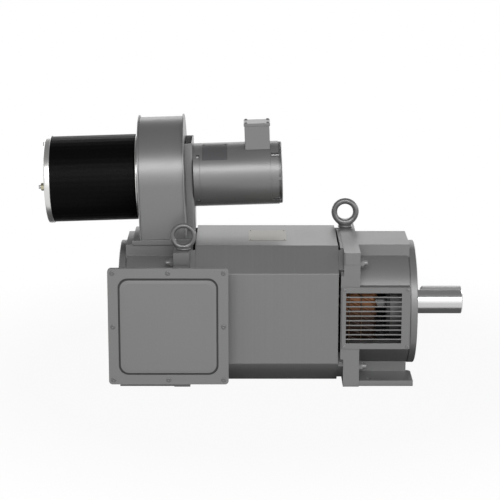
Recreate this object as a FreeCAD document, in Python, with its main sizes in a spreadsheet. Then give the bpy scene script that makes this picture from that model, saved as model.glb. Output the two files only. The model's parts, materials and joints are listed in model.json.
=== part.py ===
import FreeCAD
import Part
import Sketcher
import os
import re

# Drip-proof foot and flange motor with a scroll blower on its rear bracket.
# Millimetres. +X runs along the shaft to the drive end, +Z is up, and the origin is the centre of
# the foot bolt pattern on the base plane.

SIZES = {
    # Laminated stator frame
    "shaft_height": 158.75,
    "flange_radius": 139.7,
    "frame_corner": 52,
    "frame_length": 316,
    "stator_bore": 100,
    "slot_count": 36,
    "slot_width": 8,
    "slot_depth": 24,
    # Stator winding
    "winding_fit": 0.3,
    "winding_gap": 2,
    "winding_swell": 2,
    "winding_room": 7,
    "winding_round": 8,
    "winding_reach": 84,
    "rear_winding_reach": 70,
    # Rotor
    "air_gap": 0.8,
    "bar_count": 28,
    "bar_width": 6,
    "bar_depth": 18,
    "bar_cover": 2,
    "cast_fit": 0.1,
    "end_ring_length": 16,
    "end_ring_wall": 28,
    "fin_count": 10,
    "fin_length": 22,
    "fin_width": 5,
    # Motor shaft
    "core_seat": 40,
    "drive_shoulder": 36,
    "drive_journal": 30,
    "shaft_radius": 28.575,
    "shaft_reach": 111.7,
    "shaft_chamfer": 2,
    "rear_shoulder": 32,
    "rear_journal": 25,
    "journal_spare": 6,
    "key_width": 12.7,
    "key_floor": 21.5,
    "key_start": 17,
    "key_chamfer": 5,
    # Shaft bearings
    "drive_bearing_radius": 65,
    "drive_bearing_width": 31,
    "rear_bearing_radius": 55,
    "rear_bearing_width": 27,
    "ring_wall": 8,
    "shield_thick": 1.2,
    "shield_inset": 1,
    "shield_clearance": 0.4,
    "seat_fit": 0.02,
    "spring_thick": 2,
    "spring_width": 9,
    "cap_thick": 8,
    "cap_clearance": 2.5,
    # Brackets
    "bracket_gap": 5.5,
    "rim_length": 6.5,
    "ring_length": 35.7,
    "rim_inset": 7.5,
    "spine_rise": 1.5,
    "pad_inset": 15,
    "pad_half": 18,
    "lug_proud": 3,
    "lug_height": 26.5,
    "lug_depth": 20,
    "lug_setback": 2.6,
    "lug_trim": 0.9,
    "barrel_lip": 0.8,
    "barrel_inset": 6.5,
    "barrel_wall": 7.5,
    "block_half": 67,
    "web_setback": 3.6,
    "side_block_half": 68.5,
    "drive_reach": 176.8,
    "rear_reach": 171.3,
    "flange_thick": 15,
    "flange_chamfer": 1.5,
    "neck_depth": 4,
    "neck_length": 3,
    "hub_radius": 84,
    "hub_length": 42,
    "seal_radius": 46,
    "seal_thick": 8,
    "seal_recess": 10,
    "seal_clearance": 0.1,
    "shaft_hole": 39.5,
    "flange_bolt_circle": 184.15,
    "flange_bolt_radius": 6.35,
    "flange_bolt_depth": 12,
    "foot_thick": 12.8,
    "foot_edge": 15,
    "foot_reach": 168.5,
    "foot_corner": 11,
    "foot_lap": 5,
    "foot_bolt_reach": 70.6,
    "foot_bolt_half": 127,
    "foot_bolt_radius": 6.75,
    "rear_cover_radius": 62,
    "rear_cover_thick": 6,
    # Windows and their covers
    "window_depth": 36,
    "cover_start": 8,
    "cover_half": 70.6,
    "cover_lap": 8,
    "cover_side_lap": 9.6,
    "cover_far_lap": 17,
    "cover_plate_thick": 3,
    "louvre_count": 11,
    "louvre_pitch": 10.7,
    "louvre_slot": 6.6,
    "louvre_slot_start": 9,
    "louvre_slot_margin": 19,
    # Studs, nuts and eye bolts
    "stud_inset": 35.5,
    "stud_radius": 6,
    "stud_fit": 0.2,
    "stud_bite": 22,
    "stud_proud": 17,
    "nut_half": 9,
    "nut_thick": 9,
    "eye_inset": 35,
    "eye_setback": 26,
    "eye_shank": 8,
    "eye_bite": 18,
    "eye_collar": 16.5,
    "eye_collar_thick": 5,
    "eye_collar_edge": 1.5,
    "eye_neck_rise": 3,
    "drive_eye_rise": 36,
    "drive_eye_radius": 25,
    "drive_eye_wire": 6.8,
    "rear_eye_rise": 29.4,
    "rear_eye_radius": 25,
    "rear_eye_wire": 4.2,
    # Terminal box
    "terminal_back": 56.7,
    "terminal_drop": 1.5,
    "terminal_half": 131,
    "terminal_flange": 17,
    "terminal_sheet": 3,
    "terminal_depth": 44,
    "terminal_corner": 8,
    "terminal_clearance": 5,
    "adapter_lap": 5,
    "lead_window_half": 40,
    "gasket_thick": 2,
    "cover_thick": 4,
    "panel_margin": 22.5,
    "panel_corner": 21,
    "panel_rise": 1.5,
    "panel_groove": 3.6,
    "panel_groove_depth": 3,
    # Blower position and scroll
    "blower_back": 76.4,
    "blower_side": 68,
    "tilt": 1.79,
    "base_rise": 11.5,
    "base_overhang": 6,
    "base_margin": 13.2,
    "base_lip": 1,
    "base_duct_wall": 14,
    "scroll_radius": 135.3,
    "scroll_tail_radius": 112,
    "scroll_turn": 60,
    "scroll_cutoff": 2,
    "scroll_drop": 118,
    "scroll_width": 103.5,
    "scroll_sheet": 3,
    "scroll_rim": 5,
    "scroll_motor_hole": 30,
    # Inlet ring and filter
    "inlet_flange_inset": 0.5,
    "inlet_flange_thick": 4,
    "inlet_throat": 60,
    "inlet_sheet": 3,
    "inlet_gap": 3,
    "inlet_clearance": 6,
    "filter_radius": 97.5,
    "filter_wall": 6,
    "filter_length": 195.5,
    "filter_cap_depth": 13,
    "filter_cap_sheet": 2,
    "filter_cap_fit": 0.3,
    "filter_rod_radius": 4,
    "filter_rod_gap": 1.5,
    "filter_rod_count": 3,
    "filter_rod_proud": 12,
    "filter_nut_half": 7,
    "filter_nut_thick": 7,
    # Impeller
    "impeller_radius": 80,
    "impeller_eye": 64,
    "impeller_width": 85,
    "impeller_gap": 10,
    "impeller_disc": 3,
    "impeller_rim_wall": 14,
    "blade_count": 24,
    "blade_thick": 1.6,
    "blade_curve": 14,
    "blade_lead": 9,
    "hub_sleeve": 16,
    "hub_sleeve_length": 34,
    # Blower motor
    "pan_depth": 18.6,
    "pan_half": 56,
    "pan_rise": 10.2,
    "pan_bend": 5,
    "pan_sheet": 3,
    "mount_plate_thick": 8,
    "mount_plate_drop": 24,
    "fan_motor_radius": 72,
    "fan_shell_wall": 3.5,
    "fan_shell_length": 160.8,
    "fan_front_bell": 14,
    "fan_rear_bell": 26,
    "fan_bell_wall": 4,
    "fan_bell_round": 6,
    "fan_rim_wall": 10,
    "fan_bolt_count": 4,
    "fan_pocket_half": 5,
    "fan_pocket_depth": 5,
    "fan_pocket_length": 16,
    "fan_front_pocket": 7,
    "fan_slot_lip": 2.6,
    "fan_slot_width": 5.3,
    "fan_slot_depth": 8,
    "fan_rib_half": 4,
    "fan_rib_set": 1.2,
    "fan_vent_count": 8,
    "fan_vent_length": 18,
    "fan_vent_width": 5,
    "fan_vent_place": 52,
    "fan_core_length": 80,
    "fan_core_bore": 40,
    "fan_air_gap": 0.5,
    "fan_coil_length": 22,
    "fan_coil_wall": 18,
    "fan_shaft_radius": 7.94,
    "fan_bearing_radius": 20,
    "fan_bearing_width": 12,
    "fan_ring_wall": 3.5,
    "fan_hub_radius": 26,
    "fan_hub_clearance": 1.5,
    # Conduit box on the blower motor
    "conduit_margin": 0.2,
    "conduit_length": 56.5,
    "conduit_half": 28,
    "conduit_front": 11,
    "conduit_rise": 42.5,
    "conduit_sheet": 2.5,
    "conduit_lid_thick": 6.5,
    "conduit_lid_lip": 1.5,
}

doc = FreeCAD.newDocument("drip_proof_motor")
sheet = doc.addObject("Spreadsheet::Sheet", "Sizes")
for row, (alias, number) in enumerate(SIZES.items(), start=1):
    sheet.set(f"A{row}", alias)
    sheet.set(f"B{row}", str(number))
    sheet.setAlias(f"B{row}", alias)
doc.recompute()

sub_parts = []

# Stations along the shaft, measured from mid-frame
FRAME_END = "(frame_length / 2)"
RIM_START = f"({FRAME_END} + bracket_gap)"
RING_START = f"({RIM_START} + rim_length)"
RING_END = f"({RING_START} + ring_length)"
DRIVE_FACE = f"({FRAME_END} + drive_reach)"
REAR_FACE = f"({FRAME_END} + rear_reach)"
DRIVE_WALL = f"({DRIVE_FACE} - flange_thick)"
REAR_WALL = f"({REAR_FACE} - flange_thick)"
DRIVE_COVER_END = f"({DRIVE_WALL} - neck_length)"
REAR_COVER_END = f"({REAR_WALL} - neck_length)"

# Half-widths, which step up from the flange to the barrel, the bracket and the frame
BARREL = "(flange_radius + barrel_lip)"
CAVITY = f"({BARREL} - barrel_wall)"
BRACKET_HALF = f"({BARREL} + barrel_inset)"
BRACKET_TOP = f"({BRACKET_HALF} + spine_rise)"
FRAME_HALF = f"({BRACKET_HALF} + rim_inset)"
STUD_PLACE = f"({FRAME_HALF} - stud_inset)"
EYE_PLACE = f"({BRACKET_HALF} - eye_inset)"
FOOT_HALF = "(foot_bolt_half + foot_edge)"
WINDOW_HALF = "(cover_half - cover_side_lap)"
COVER_START = f"({FRAME_END} + cover_start)"
WINDOW_START = f"({COVER_START} + cover_lap)"
DRIVE_WINDOW_END = f"({DRIVE_COVER_END} - cover_far_lap)"
REAR_WINDOW_END = f"({REAR_COVER_END} - cover_far_lap)"
TERMINAL_BACK = f"({FRAME_HALF} + terminal_clearance)"
WALL_HALF = "(terminal_half - terminal_flange)"
PANEL_HALF = "(terminal_half - panel_margin)"

# Stations along the blower axis, measured from the middle of the scroll
SCROLL_SIDE = "(scroll_width / 2)"
FILTER_START = f"(-{SCROLL_SIDE} - inlet_flange_thick)"
FILTER_END = f"({FILTER_START} - filter_length)"
CAP_END = f"({FILTER_END} - filter_cap_depth)"
MOUNT_END = f"({SCROLL_SIDE} + pan_depth)"
PLATE_START = f"({MOUNT_END} - pan_sheet - mount_plate_thick)"
SHELL_START = f"({MOUNT_END} + fan_front_bell)"
SHELL_END = f"({SHELL_START} + fan_shell_length)"
FAN_END = f"({SHELL_END} + fan_rear_bell)"
BASE_HALF = "(block_half + base_overhang)"
BASE_FRONT = f"({SCROLL_SIDE} + base_margin)"
BASE_REAR = f"({MOUNT_END} + base_lip)"
INLET_HOLE = "(inlet_throat + 2 * inlet_sheet + inlet_clearance)"
ROD_PLACE = "(filter_radius - filter_wall - filter_rod_radius - filter_rod_gap)"
PAN_TOP = "(fan_motor_radius + pan_rise)"
CONDUIT_HEIGHT = "(fan_motor_radius + conduit_rise)"
CONDUIT_NEAR = "(-conduit_half - conduit_front)"
CONDUIT_FAR = "(conduit_half - conduit_front)"


# Helpers: expressions, sketches and features

def in_sheet(text):
    return re.sub(r"\b[a-z]\w*\b(?!\()", r"Sizes.\g<0>", text)


def value(text):
    return float(sheet.evalExpression(in_sheet(text)))


def new_body(label, x="0", y="0", z="shaft_height", lean=None):
    body = doc.addObject("PartDesign::Body", label)
    body.Label = label
    body.AllowCompound = True
    body.Placement = FreeCAD.Placement(FreeCAD.Vector(), FreeCAD.Rotation(FreeCAD.Vector(0, -1, 0), 0))
    for axis, place in zip("xyz", (x, y, z)):
        body.setExpression(f"Placement.Base.{axis}", in_sheet(place))
    if lean:
        body.setExpression("Placement.Rotation.Angle", in_sheet(lean))
    sub_parts.append(body)
    return body


def blower_body(label):
    rise = f"shaft_height + {BRACKET_TOP} + base_rise + scroll_drop / cos(tilt)"
    return new_body(label, f"-({FRAME_END} + blower_back)", "blower_side", rise, "tilt")


def origin_item(body, role):
    return next(item for item in body.Origin.OriginFeatures if item.Role == role)


def new_sketch(body, plane, at):
    sketch = body.newObject("Sketcher::SketchObject", f"{body.Label}_sketch")
    sketch.AttachmentSupport = [(origin_item(body, f"{plane}_Plane"), "")]
    sketch.MapMode = "FlatFace"
    side = "-" if plane == "XZ" else ""
    sketch.setExpression("AttachmentOffset.Base.z", in_sheet(f"{side}({at})"))
    return sketch


def arc_between(start, end, radius, turn):
    chord = end - start
    middle = (start + end) * 0.5
    normal = FreeCAD.Vector(-chord.y, chord.x, 0).normalize()
    inset = (radius ** 2 - (chord.Length / 2) ** 2) ** 0.5
    centre = middle + normal * inset * turn
    bulge = centre - normal * radius * turn
    return Part.Arc(start, bulge, end)


# A closed outline. Each step is (x, y), reached by a line, or (x, y, radius, turn), reached by an
# arc under half a circle: turn is 1 for anticlockwise and -1 for clockwise.
def outline(body, plane, steps, at="0"):
    sketch = new_sketch(body, plane, at)
    points = [FreeCAD.Vector(value(step[0]), value(step[1]), 0) for step in steps]
    rules = []
    bound = []
    count = len(steps)
    for index, step in enumerate(steps):
        start, end = points[index - 1], points[index]
        if len(step) == 4:
            edge = arc_between(start, end, value(step[2]), step[3])
            turn = step[3]
        else:
            edge = Part.LineSegment(start, end)
            turn = 1
        sketch.addGeometry(edge)
        head, tail = (2, 1) if turn == 1 else (1, 2)
        after = steps[(index + 1) % count]
        next_tail = 2 if len(after) == 4 and after[3] == -1 else 1
        rules.append(Sketcher.Constraint("Coincident", index, head, (index + 1) % count, next_tail))
        rules.append(Sketcher.Constraint("DistanceX", -1, 1, index, head, points[index].x))
        bound.append((len(rules) - 1, step[0]))
        rules.append(Sketcher.Constraint("DistanceY", -1, 1, index, head, points[index].y))
        bound.append((len(rules) - 1, step[1]))
        if len(step) == 4:
            rules.append(Sketcher.Constraint("Radius", index, value(step[2])))
            bound.append((len(rules) - 1, step[2]))
    sketch.addConstraint(rules)
    for number, text in bound:
        sketch.setExpression(f"Constraints[{number}]", in_sheet(text))
    return sketch


def circles(body, plane, rounds, at="0"):
    sketch = new_sketch(body, plane, at)
    for index, (x, y, radius) in enumerate(rounds):
        centre = FreeCAD.Vector(value(x), value(y), 0)
        sketch.addGeometry(Part.Circle(centre, FreeCAD.Vector(0, 0, 1), value(radius)))
        first = sketch.ConstraintCount
        sketch.addConstraint([
            Sketcher.Constraint("DistanceX", -1, 1, index, 3, centre.x),
            Sketcher.Constraint("DistanceY", -1, 1, index, 3, centre.y),
            Sketcher.Constraint("Radius", index, value(radius)),
        ])
        for offset, text in enumerate((x, y, radius)):
            sketch.setExpression(f"Constraints[{first + offset}]", in_sheet(text))
    return sketch


def rectangle(x_low, x_high, y_low, y_high):
    return [(x_low, y_low), (x_high, y_low), (x_high, y_high), (x_low, y_high)]


def hexagon(x, y, half):
    side = f"{half} / sqrt(3)"
    return [(f"{x} + {half}", f"{y} - {side}"), (f"{x} + {half}", f"{y} + {side}"),
            (x, f"{y} + 2 * {side}"), (f"{x} - {half}", f"{y} + {side}"),
            (f"{x} - {half}", f"{y} - {side}"), (x, f"{y} - 2 * {side}")]


def octagon(half, corner):
    flat = f"({half} - {corner})"
    return [(half, f"-{flat}"), (half, flat), (flat, half), (f"-{flat}", half),
            (f"-{half}", flat), (f"-{half}", f"-{flat}"), (f"-{flat}", f"-{half}"), (flat, f"-{half}")]


def extrude(body, kind, sketch, length, low_side):
    item = body.newObject(f"PartDesign::{kind}", f"{body.Label}_{kind.lower()}")
    item.Profile = sketch
    item.setExpression("Length", in_sheet(length))
    against = sketch.AttachmentSupport[0][0].Role == "XZ_Plane"
    item.Reversed = (low_side != against) != (kind == "Pocket")
    return item


# low_side grows or cuts towards the negative end of the sketch plane's normal axis
def pad(body, sketch, length, low_side=False):
    return extrude(body, "Pad", sketch, length, low_side)


def cut(body, sketch, length, low_side=False):
    return extrude(body, "Pocket", sketch, length, low_side)


def revolve(body, kind, steps):
    sketch = outline(body, "XZ", steps)
    item = body.newObject(f"PartDesign::{kind}", f"{body.Label}_{kind.lower()}")
    item.Profile = sketch
    item.ReferenceAxis = (sketch, ["H_Axis"])
    item.Angle = 360
    return item


def turn_on(body, steps):
    return revolve(body, "Revolution", steps)


def turn_out(body, steps):
    return revolve(body, "Groove", steps)


def ring_of(body, item, count):
    pattern = body.newObject("PartDesign::PolarPattern", f"{body.Label}_ring")
    pattern.Originals = [item]
    pattern.Axis = (origin_item(body, "X_Axis"), [""])
    pattern.Angle = 360
    pattern.setExpression("Occurrences", in_sheet(count))
    body.Tip = pattern


def row_of(body, item, axis, pitch, count):
    pattern = body.newObject("PartDesign::LinearPattern", f"{body.Label}_row")
    pattern.Originals = [item]
    pattern.Direction = (origin_item(body, f"{axis}_Axis"), [""])
    pattern.setExpression("Occurrences", in_sheet(count))
    pattern.setExpression("Length", in_sheet(f"({count} - 1) * {pitch}"))
    body.Tip = pattern


# Rounds the edges of the newest feature that the test picks out by direction and middle point
def round_edges(body, radius, picks):
    doc.recompute()
    names = []
    for index, edge in enumerate(body.Tip.Shape.Edges, start=1):
        if picks(edge):
            names.append(f"Edge{index}")
    rounded = body.newObject("PartDesign::Fillet", f"{body.Label}_round")
    rounded.Base = (body.Tip if body.Tip != rounded else rounded.BaseFeature, names)
    rounded.setExpression("Radius", in_sheet(radius))
    body.Tip = rounded


def along(edge, axis):
    if not isinstance(edge.Curve, Part.Line):
        return False
    return abs(abs(edge.Curve.Direction.dot(axis)) - 1) < 1e-6


# Stator core: an octagonal stack of laminations with winding slots and a tapped hole at each corner
def stator_core():
    body = new_body("stator_core")
    start = f"-{FRAME_END}"
    pad(body, outline(body, "YZ", octagon(FRAME_HALF, "frame_corner"), start), "frame_length")
    cut(body, circles(body, "YZ", [("0", "0", "stator_bore")], start), "frame_length")
    slot = rectangle("-slot_width / 2", "slot_width / 2", "stator_bore - slot_width",
                     "stator_bore + slot_depth")
    ring_of(body, cut(body, outline(body, "YZ", slot, start), "frame_length"), "slot_count")
    tapped = stud_circles("stud_radius + stud_fit")
    cut(body, circles(body, "YZ", tapped, start), "stud_bite + stud_fit")
    cut(body, circles(body, "YZ", tapped, FRAME_END), "stud_bite + stud_fit", low_side=True)


def stud_circles(radius):
    return [(f"{y} * {STUD_PLACE}", f"{z} * {STUD_PLACE}", radius) for y in (-1, 1) for z in (-1, 1)]


# Stator winding: slot bars joined by a swollen ring of end turns at each end
def stator_winding():
    body = new_body("stator_winding")
    inner = "(stator_bore + winding_swell)"
    outer = f"({CAVITY} - winding_room)"
    bend = f"min(winding_round; ({outer} - {inner}) / 3)"
    start = f"({FRAME_END} + winding_gap)"
    for side, reach in ((1, "winding_reach"), (-1, "rear_winding_reach")):
        tip = f"({FRAME_END} + {reach})"
        turn_on(body, [
            (f"{side} * {start}", inner),
            (f"{side} * ({tip} - {bend})", inner),
            (f"{side} * {tip}", f"{inner} + {bend}", bend, side),
            (f"{side} * {tip}", f"{outer} - {bend}"),
            (f"{side} * ({tip} - {bend})", outer, bend, side),
            (f"{side} * ({start} + {bend})", outer),
            (f"{side} * {start}", f"{outer} - {bend}"),
        ])
    bar = rectangle("-slot_width / 2 + winding_fit", "slot_width / 2 - winding_fit", inner,
                    "stator_bore + slot_depth - winding_fit")
    bar_end = f"({start} + winding_gap)"
    bars = pad(body, outline(body, "YZ", bar, f"-{bar_end}"), f"2 * {bar_end}")
    ring_of(body, bars, "slot_count")


# Rotor core: a solid stack with closed slots under its surface
def rotor_core():
    body = new_body("rotor_core")
    start = f"-{FRAME_END}"
    rounds = [("0", "0", "stator_bore - air_gap")]
    pad(body, circles(body, "YZ", rounds, start), "frame_length")
    cut(body, circles(body, "YZ", [("0", "0", "core_seat")], start), "frame_length")
    slot = outline(body, "YZ", bar_shape("0"), start)
    ring_of(body, cut(body, slot, "frame_length"), "bar_count")


def bar_shape(shrink):
    top = f"(stator_bore - air_gap - bar_cover - {shrink})"
    low = f"(stator_bore - air_gap - bar_cover - bar_depth + {shrink})"
    return rectangle(f"-bar_width / 2 + {shrink}", f"bar_width / 2 - {shrink}", low, top)


# Rotor cage: cast bars, end rings and stubby fan fins
def rotor_cage():
    body = new_body("rotor_cage")
    outer = "(stator_bore - air_gap - bar_cover)"
    inner = f"({outer} - end_ring_wall)"
    ring_end = f"({FRAME_END} + end_ring_length)"
    for side in (1, -1):
        turn_on(body, rectangle(f"{side} * {FRAME_END}", f"{side} * {ring_end}", inner, outer))
    bars = outline(body, "YZ", bar_shape("cast_fit"), f"-{FRAME_END}")
    ring_of(body, pad(body, bars, "frame_length"), "bar_count")
    fin = rectangle("-fin_width / 2", "fin_width / 2", f"{inner} + fin_width", f"{outer} - fin_width")
    for start, low_side in ((ring_end, False), (f"-{ring_end}", True)):
        fins = pad(body, outline(body, "YZ", fin, start), "fin_length", low_side)
        ring_of(body, fins, "fin_count")


# Stepped shaft with a keyway that runs out of its end
def motor_shaft():
    body = new_body("motor_shaft")
    drive_seat = f"({DRIVE_WALL} - drive_bearing_width)"
    rear_seat = f"(-{REAR_WALL} + spring_thick + rear_bearing_width)"
    rear_end = f"(-{REAR_WALL} - journal_spare)"
    end = f"({DRIVE_FACE} + shaft_reach)"
    step = f"({DRIVE_WALL} + journal_spare / 2)"
    turn_on(body, [
        (rear_end, "0"), (rear_end, "rear_journal - shaft_chamfer"),
        (f"{rear_end} + shaft_chamfer", "rear_journal"), (rear_seat, "rear_journal"),
        (rear_seat, "rear_shoulder"), (f"-{FRAME_END}", "rear_shoulder"),
        (f"-{FRAME_END}", "core_seat"), (FRAME_END, "core_seat"),
        (FRAME_END, "drive_shoulder"), (drive_seat, "drive_shoulder"),
        (drive_seat, "drive_journal"), (step, "drive_journal"), (step, "shaft_radius"),
        (f"{end} - shaft_chamfer", "shaft_radius"), (end, "shaft_radius - shaft_chamfer"), (end, "0"),
    ])
    seat = rectangle("-key_width / 2", "key_width / 2", "key_floor", "shaft_radius + key_width")
    cut(body, outline(body, "YZ", seat, end), "shaft_reach - key_start", low_side=True)


# Square key with its inner end cut away where the keyway starts
def shaft_key():
    body = new_body("shaft_key")
    start = f"({DRIVE_FACE} + key_start)"
    end = f"({DRIVE_FACE} + shaft_reach - shaft_chamfer)"
    top = "(key_floor + key_width)"
    side = outline(body, "XZ", [
        (start, "key_floor"), (end, "key_floor"), (end, top), (f"{start} + key_chamfer", top),
        (start, f"{top} - key_chamfer"),
    ], "key_width / 2")
    pad(body, side, "key_width", low_side=True)


# Bearing rings, the outer one with its shields, from the left face, on a given body maker
def bearing(make, label, start, width, outer, bore, wall):
    end = f"({start} + {width})"
    outer_bore = f"({outer} - {wall})"
    inner_top = f"({bore} + {wall})"
    lip = f"({inner_top} + shield_clearance)"
    shield = "(shield_inset + shield_thick)"
    body = make(f"{label}_outer_ring")
    turn_on(body, [
        (start, outer), (start, outer_bore), (f"{start} + shield_inset", outer_bore),
        (f"{start} + shield_inset", lip), (f"{start} + {shield}", lip),
        (f"{start} + {shield}", outer_bore), (f"{end} - {shield}", outer_bore),
        (f"{end} - {shield}", lip), (f"{end} - shield_inset", lip),
        (f"{end} - shield_inset", outer_bore), (end, outer_bore), (end, outer),
    ])
    body = make(f"{label}_inner_ring")
    turn_on(body, rectangle(start, end, bore, inner_top))


def shaft_bearings():
    drive = (f"({DRIVE_WALL} - drive_bearing_width)", "drive_bearing_width",
             "drive_bearing_radius", "drive_journal", "ring_wall")
    rear = (f"(-{REAR_WALL} + spring_thick)", "rear_bearing_width",
            "rear_bearing_radius", "rear_journal", "ring_wall")
    bearing(new_body, "drive_bearing", *drive)
    bearing(new_body, "rear_bearing", *rear)


# Inner bearing caps clamp each outer ring from inside; the wave spring loads the rear one
def bearing_caps():
    for label, side, wall, radius, width, shoulder, spring in (
            ("drive_bearing_cap", "", DRIVE_WALL, "drive_bearing_radius", "drive_bearing_width",
             "drive_shoulder", "0"),
            ("rear_bearing_cap", "-", REAR_WALL, "rear_bearing_radius", "rear_bearing_width",
             "rear_shoulder", "spring_thick")):
        body = new_body(label)
        hub_end = f"({wall} - hub_length)"
        stop = f"({wall} - {width} - {spring})"
        hole = f"({shoulder} + cap_clearance)"
        turn_on(body, [
            (f"{side}({hub_end} - cap_thick)", hole), (f"{side}({stop})", hole),
            (f"{side}({stop})", f"{radius} - seat_fit"), (f"{side}({hub_end})", f"{radius} - seat_fit"),
            (f"{side}({hub_end})", "hub_radius - cap_clearance"),
            (f"{side}({hub_end} - cap_thick)", "hub_radius - cap_clearance"),
        ])
    body = new_body("bearing_wave_spring")
    turn_on(body, rectangle(f"-{REAR_WALL}", f"-{REAR_WALL} + spring_thick",
                            "rear_bearing_radius - seat_fit - spring_width",
                            "rear_bearing_radius - seat_fit"))


def shaft_seal():
    body = new_body("shaft_seal")
    start = f"({DRIVE_FACE} - seal_recess)"
    turn_on(body, rectangle(start, f"{start} + seal_thick", "shaft_radius + seal_clearance",
                            "seal_radius - seat_fit"))


def rear_end_cover():
    body = new_body("rear_end_cover")
    end = f"(-{REAR_FACE} - rear_cover_thick)"
    turn_on(body, [
        (f"-{REAR_FACE}", "0"), (f"-{REAR_FACE}", "rear_cover_radius"),
        (f"{end} + flange_chamfer", "rear_cover_radius"),
        (end, "rear_cover_radius - flange_chamfer"), (end, "0"),
    ])


# Bracket casting: octagonal rim on four corner pads, square ring with legs, barrel with four spine
# blocks, end wall with a bearing hub, and two feet. sign is 1 at the drive end and -1 at the rear.
def bracket(label, sign, face, seat, hole):
    body = new_body(label)
    wall = f"({face} - flange_thick)"
    rear = sign < 0

    def along_x(text):
        return f"{sign} * {text}"

    rim = outline(body, "YZ", octagon(BRACKET_HALF, "frame_corner"), along_x(RIM_START))
    pad(body, rim, "rim_length", rear)
    near = f"({STUD_PLACE} - pad_inset)"
    far = f"({FRAME_HALF} - frame_corner / 2)"
    corner_pad = outline(body, "YZ", [
        (f"{near} - pad_half", f"{near} + pad_half"), (f"{near} + pad_half", f"{near} - pad_half"),
        (f"{far} + pad_half", f"{far} - pad_half"), (f"{far} - pad_half", f"{far} + pad_half"),
    ], along_x(FRAME_END))
    ring_of(body, pad(body, corner_pad, "bracket_gap + rim_length", rear), "4")
    ring = outline(body, "YZ", [
        (f"-{BRACKET_HALF}", "-shaft_height"), ("-block_half", "-shaft_height"),
        ("-block_half", f"-{BRACKET_TOP}"), ("block_half", f"-{BRACKET_TOP}"),
        ("block_half", "-shaft_height"), (BRACKET_HALF, "-shaft_height"),
        (BRACKET_HALF, BRACKET_TOP), (f"-{BRACKET_HALF}", BRACKET_TOP),
    ], along_x(RING_START))
    pad(body, ring, "ring_length", rear)
    lug_end = f"({BRACKET_HALF} + lug_proud)"
    lug_start = f"({BRACKET_HALF} - lug_depth)"
    for low, high in ((lug_start, lug_end), (f"-{lug_end}", f"-{lug_start}")):
        lug = rectangle(low, high, f"{BRACKET_TOP} - lug_height", BRACKET_TOP)
        pad(body, outline(body, "YZ", lug, along_x(f"({RING_START} + lug_setback)")),
            "ring_length - lug_setback - lug_trim", rear)
    neck = f"({BARREL} - neck_depth)"
    turn_on(body, [
        (along_x(RIM_START), "0"), (along_x(RIM_START), BARREL),
        (along_x(f"({wall} - neck_length)"), BARREL), (along_x(f"({wall} - neck_length)"), neck),
        (along_x(wall), neck), (along_x(wall), "flange_radius"),
        (along_x(f"({face} - flange_chamfer)"), "flange_radius"),
        (along_x(face), "flange_radius - flange_chamfer"), (along_x(face), "0"),
    ])
    spine = rectangle("-block_half", "block_half", "0", BRACKET_TOP)
    pad(body, outline(body, "YZ", spine, along_x(RING_START)), f"{wall} - {RING_START}", rear)
    web = rectangle("-block_half", "block_half", f"-{BRACKET_TOP}", "0")
    pad(body, outline(body, "YZ", web, along_x(RING_START)), f"{wall} - web_setback - {RING_START}", rear)
    side_spine = rectangle(f"-{BRACKET_HALF}", BRACKET_HALF, "-side_block_half", "side_block_half")
    pad(body, outline(body, "YZ", side_spine, along_x(RING_START)),
        f"{wall} - neck_length - {RING_START}", rear)
    foot_end = f"({FRAME_END} + foot_reach)"
    foot_inner = "(block_half - foot_lap)"
    for side in (1, -1):
        foot = outline(body, "XY", [
            (along_x(RING_START), f"{side} * {foot_inner}"), (along_x(RING_START), f"{side} * {FOOT_HALF}"),
            (along_x(foot_end), f"{side} * {FOOT_HALF}"),
            (along_x(foot_end), f"{side} * ({foot_inner} + foot_corner)"),
            (along_x(f"({foot_end} - foot_corner)"), f"{side} * {foot_inner}", "foot_corner", -sign * side),
        ], "-shaft_height")
        pad(body, foot, "foot_thick")
    hub_end = f"({wall} - hub_length)"
    turn_out(body, [
        (along_x(f"({FRAME_END} - bracket_gap)"), "0"), (along_x(f"({FRAME_END} - bracket_gap)"), CAVITY),
        (along_x(wall), CAVITY), (along_x(wall), "hub_radius"), (along_x(hub_end), "hub_radius"),
        (along_x(hub_end), f"{seat} + seat_fit"), (along_x(wall), f"{seat} + seat_fit"), (along_x(wall), "0"),
    ])
    turn_out(body, rectangle(along_x(hub_end), along_x(f"({face} + seal_recess)"), "0", hole))
    openings(body, sign, rear)
    holes = circles(body, "YZ", stud_circles("stud_radius + stud_fit"), along_x(FRAME_END))
    cut(body, holes, f"{RING_END} - {FRAME_END}", rear)
    bolts = [(along_x(f"({FRAME_END} + foot_bolt_reach)"), f"{side} * foot_bolt_half", "foot_bolt_radius")
             for side in (1, -1)]
    cut(body, circles(body, "XY", bolts, "-shaft_height"), "foot_thick")
    eye = [(along_x(f"({FRAME_END} + eye_setback)"), f"{sign} * {EYE_PLACE}", "eye_shank + stud_fit")]
    cut(body, circles(body, "XY", eye, BRACKET_TOP), "eye_bite + stud_fit", low_side=True)
    return body


# Side windows in both brackets, and the blower's air way through the top of the rear one
def openings(body, sign, rear):
    end = REAR_WINDOW_END if rear else DRIVE_WINDOW_END
    window = rectangle(f"{sign} * {WINDOW_START}", f"{sign} * {end}", f"-{WINDOW_HALF}", WINDOW_HALF)
    cut(body, outline(body, "XZ", window, BRACKET_HALF), "window_depth", low_side=True)
    cut(body, outline(body, "XZ", window, f"-{BRACKET_HALF}"), "window_depth")
    if rear:
        air_way = rectangle(f"-({FRAME_END} + blower_back + scroll_width / 2 - base_duct_wall)",
                            f"-({FRAME_END} + blower_back - scroll_width / 2 + base_duct_wall)",
                            "base_duct_wall - block_half", "block_half - base_duct_wall")
        cut(body, outline(body, "XY", air_way, BRACKET_TOP), "window_depth", low_side=True)


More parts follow.
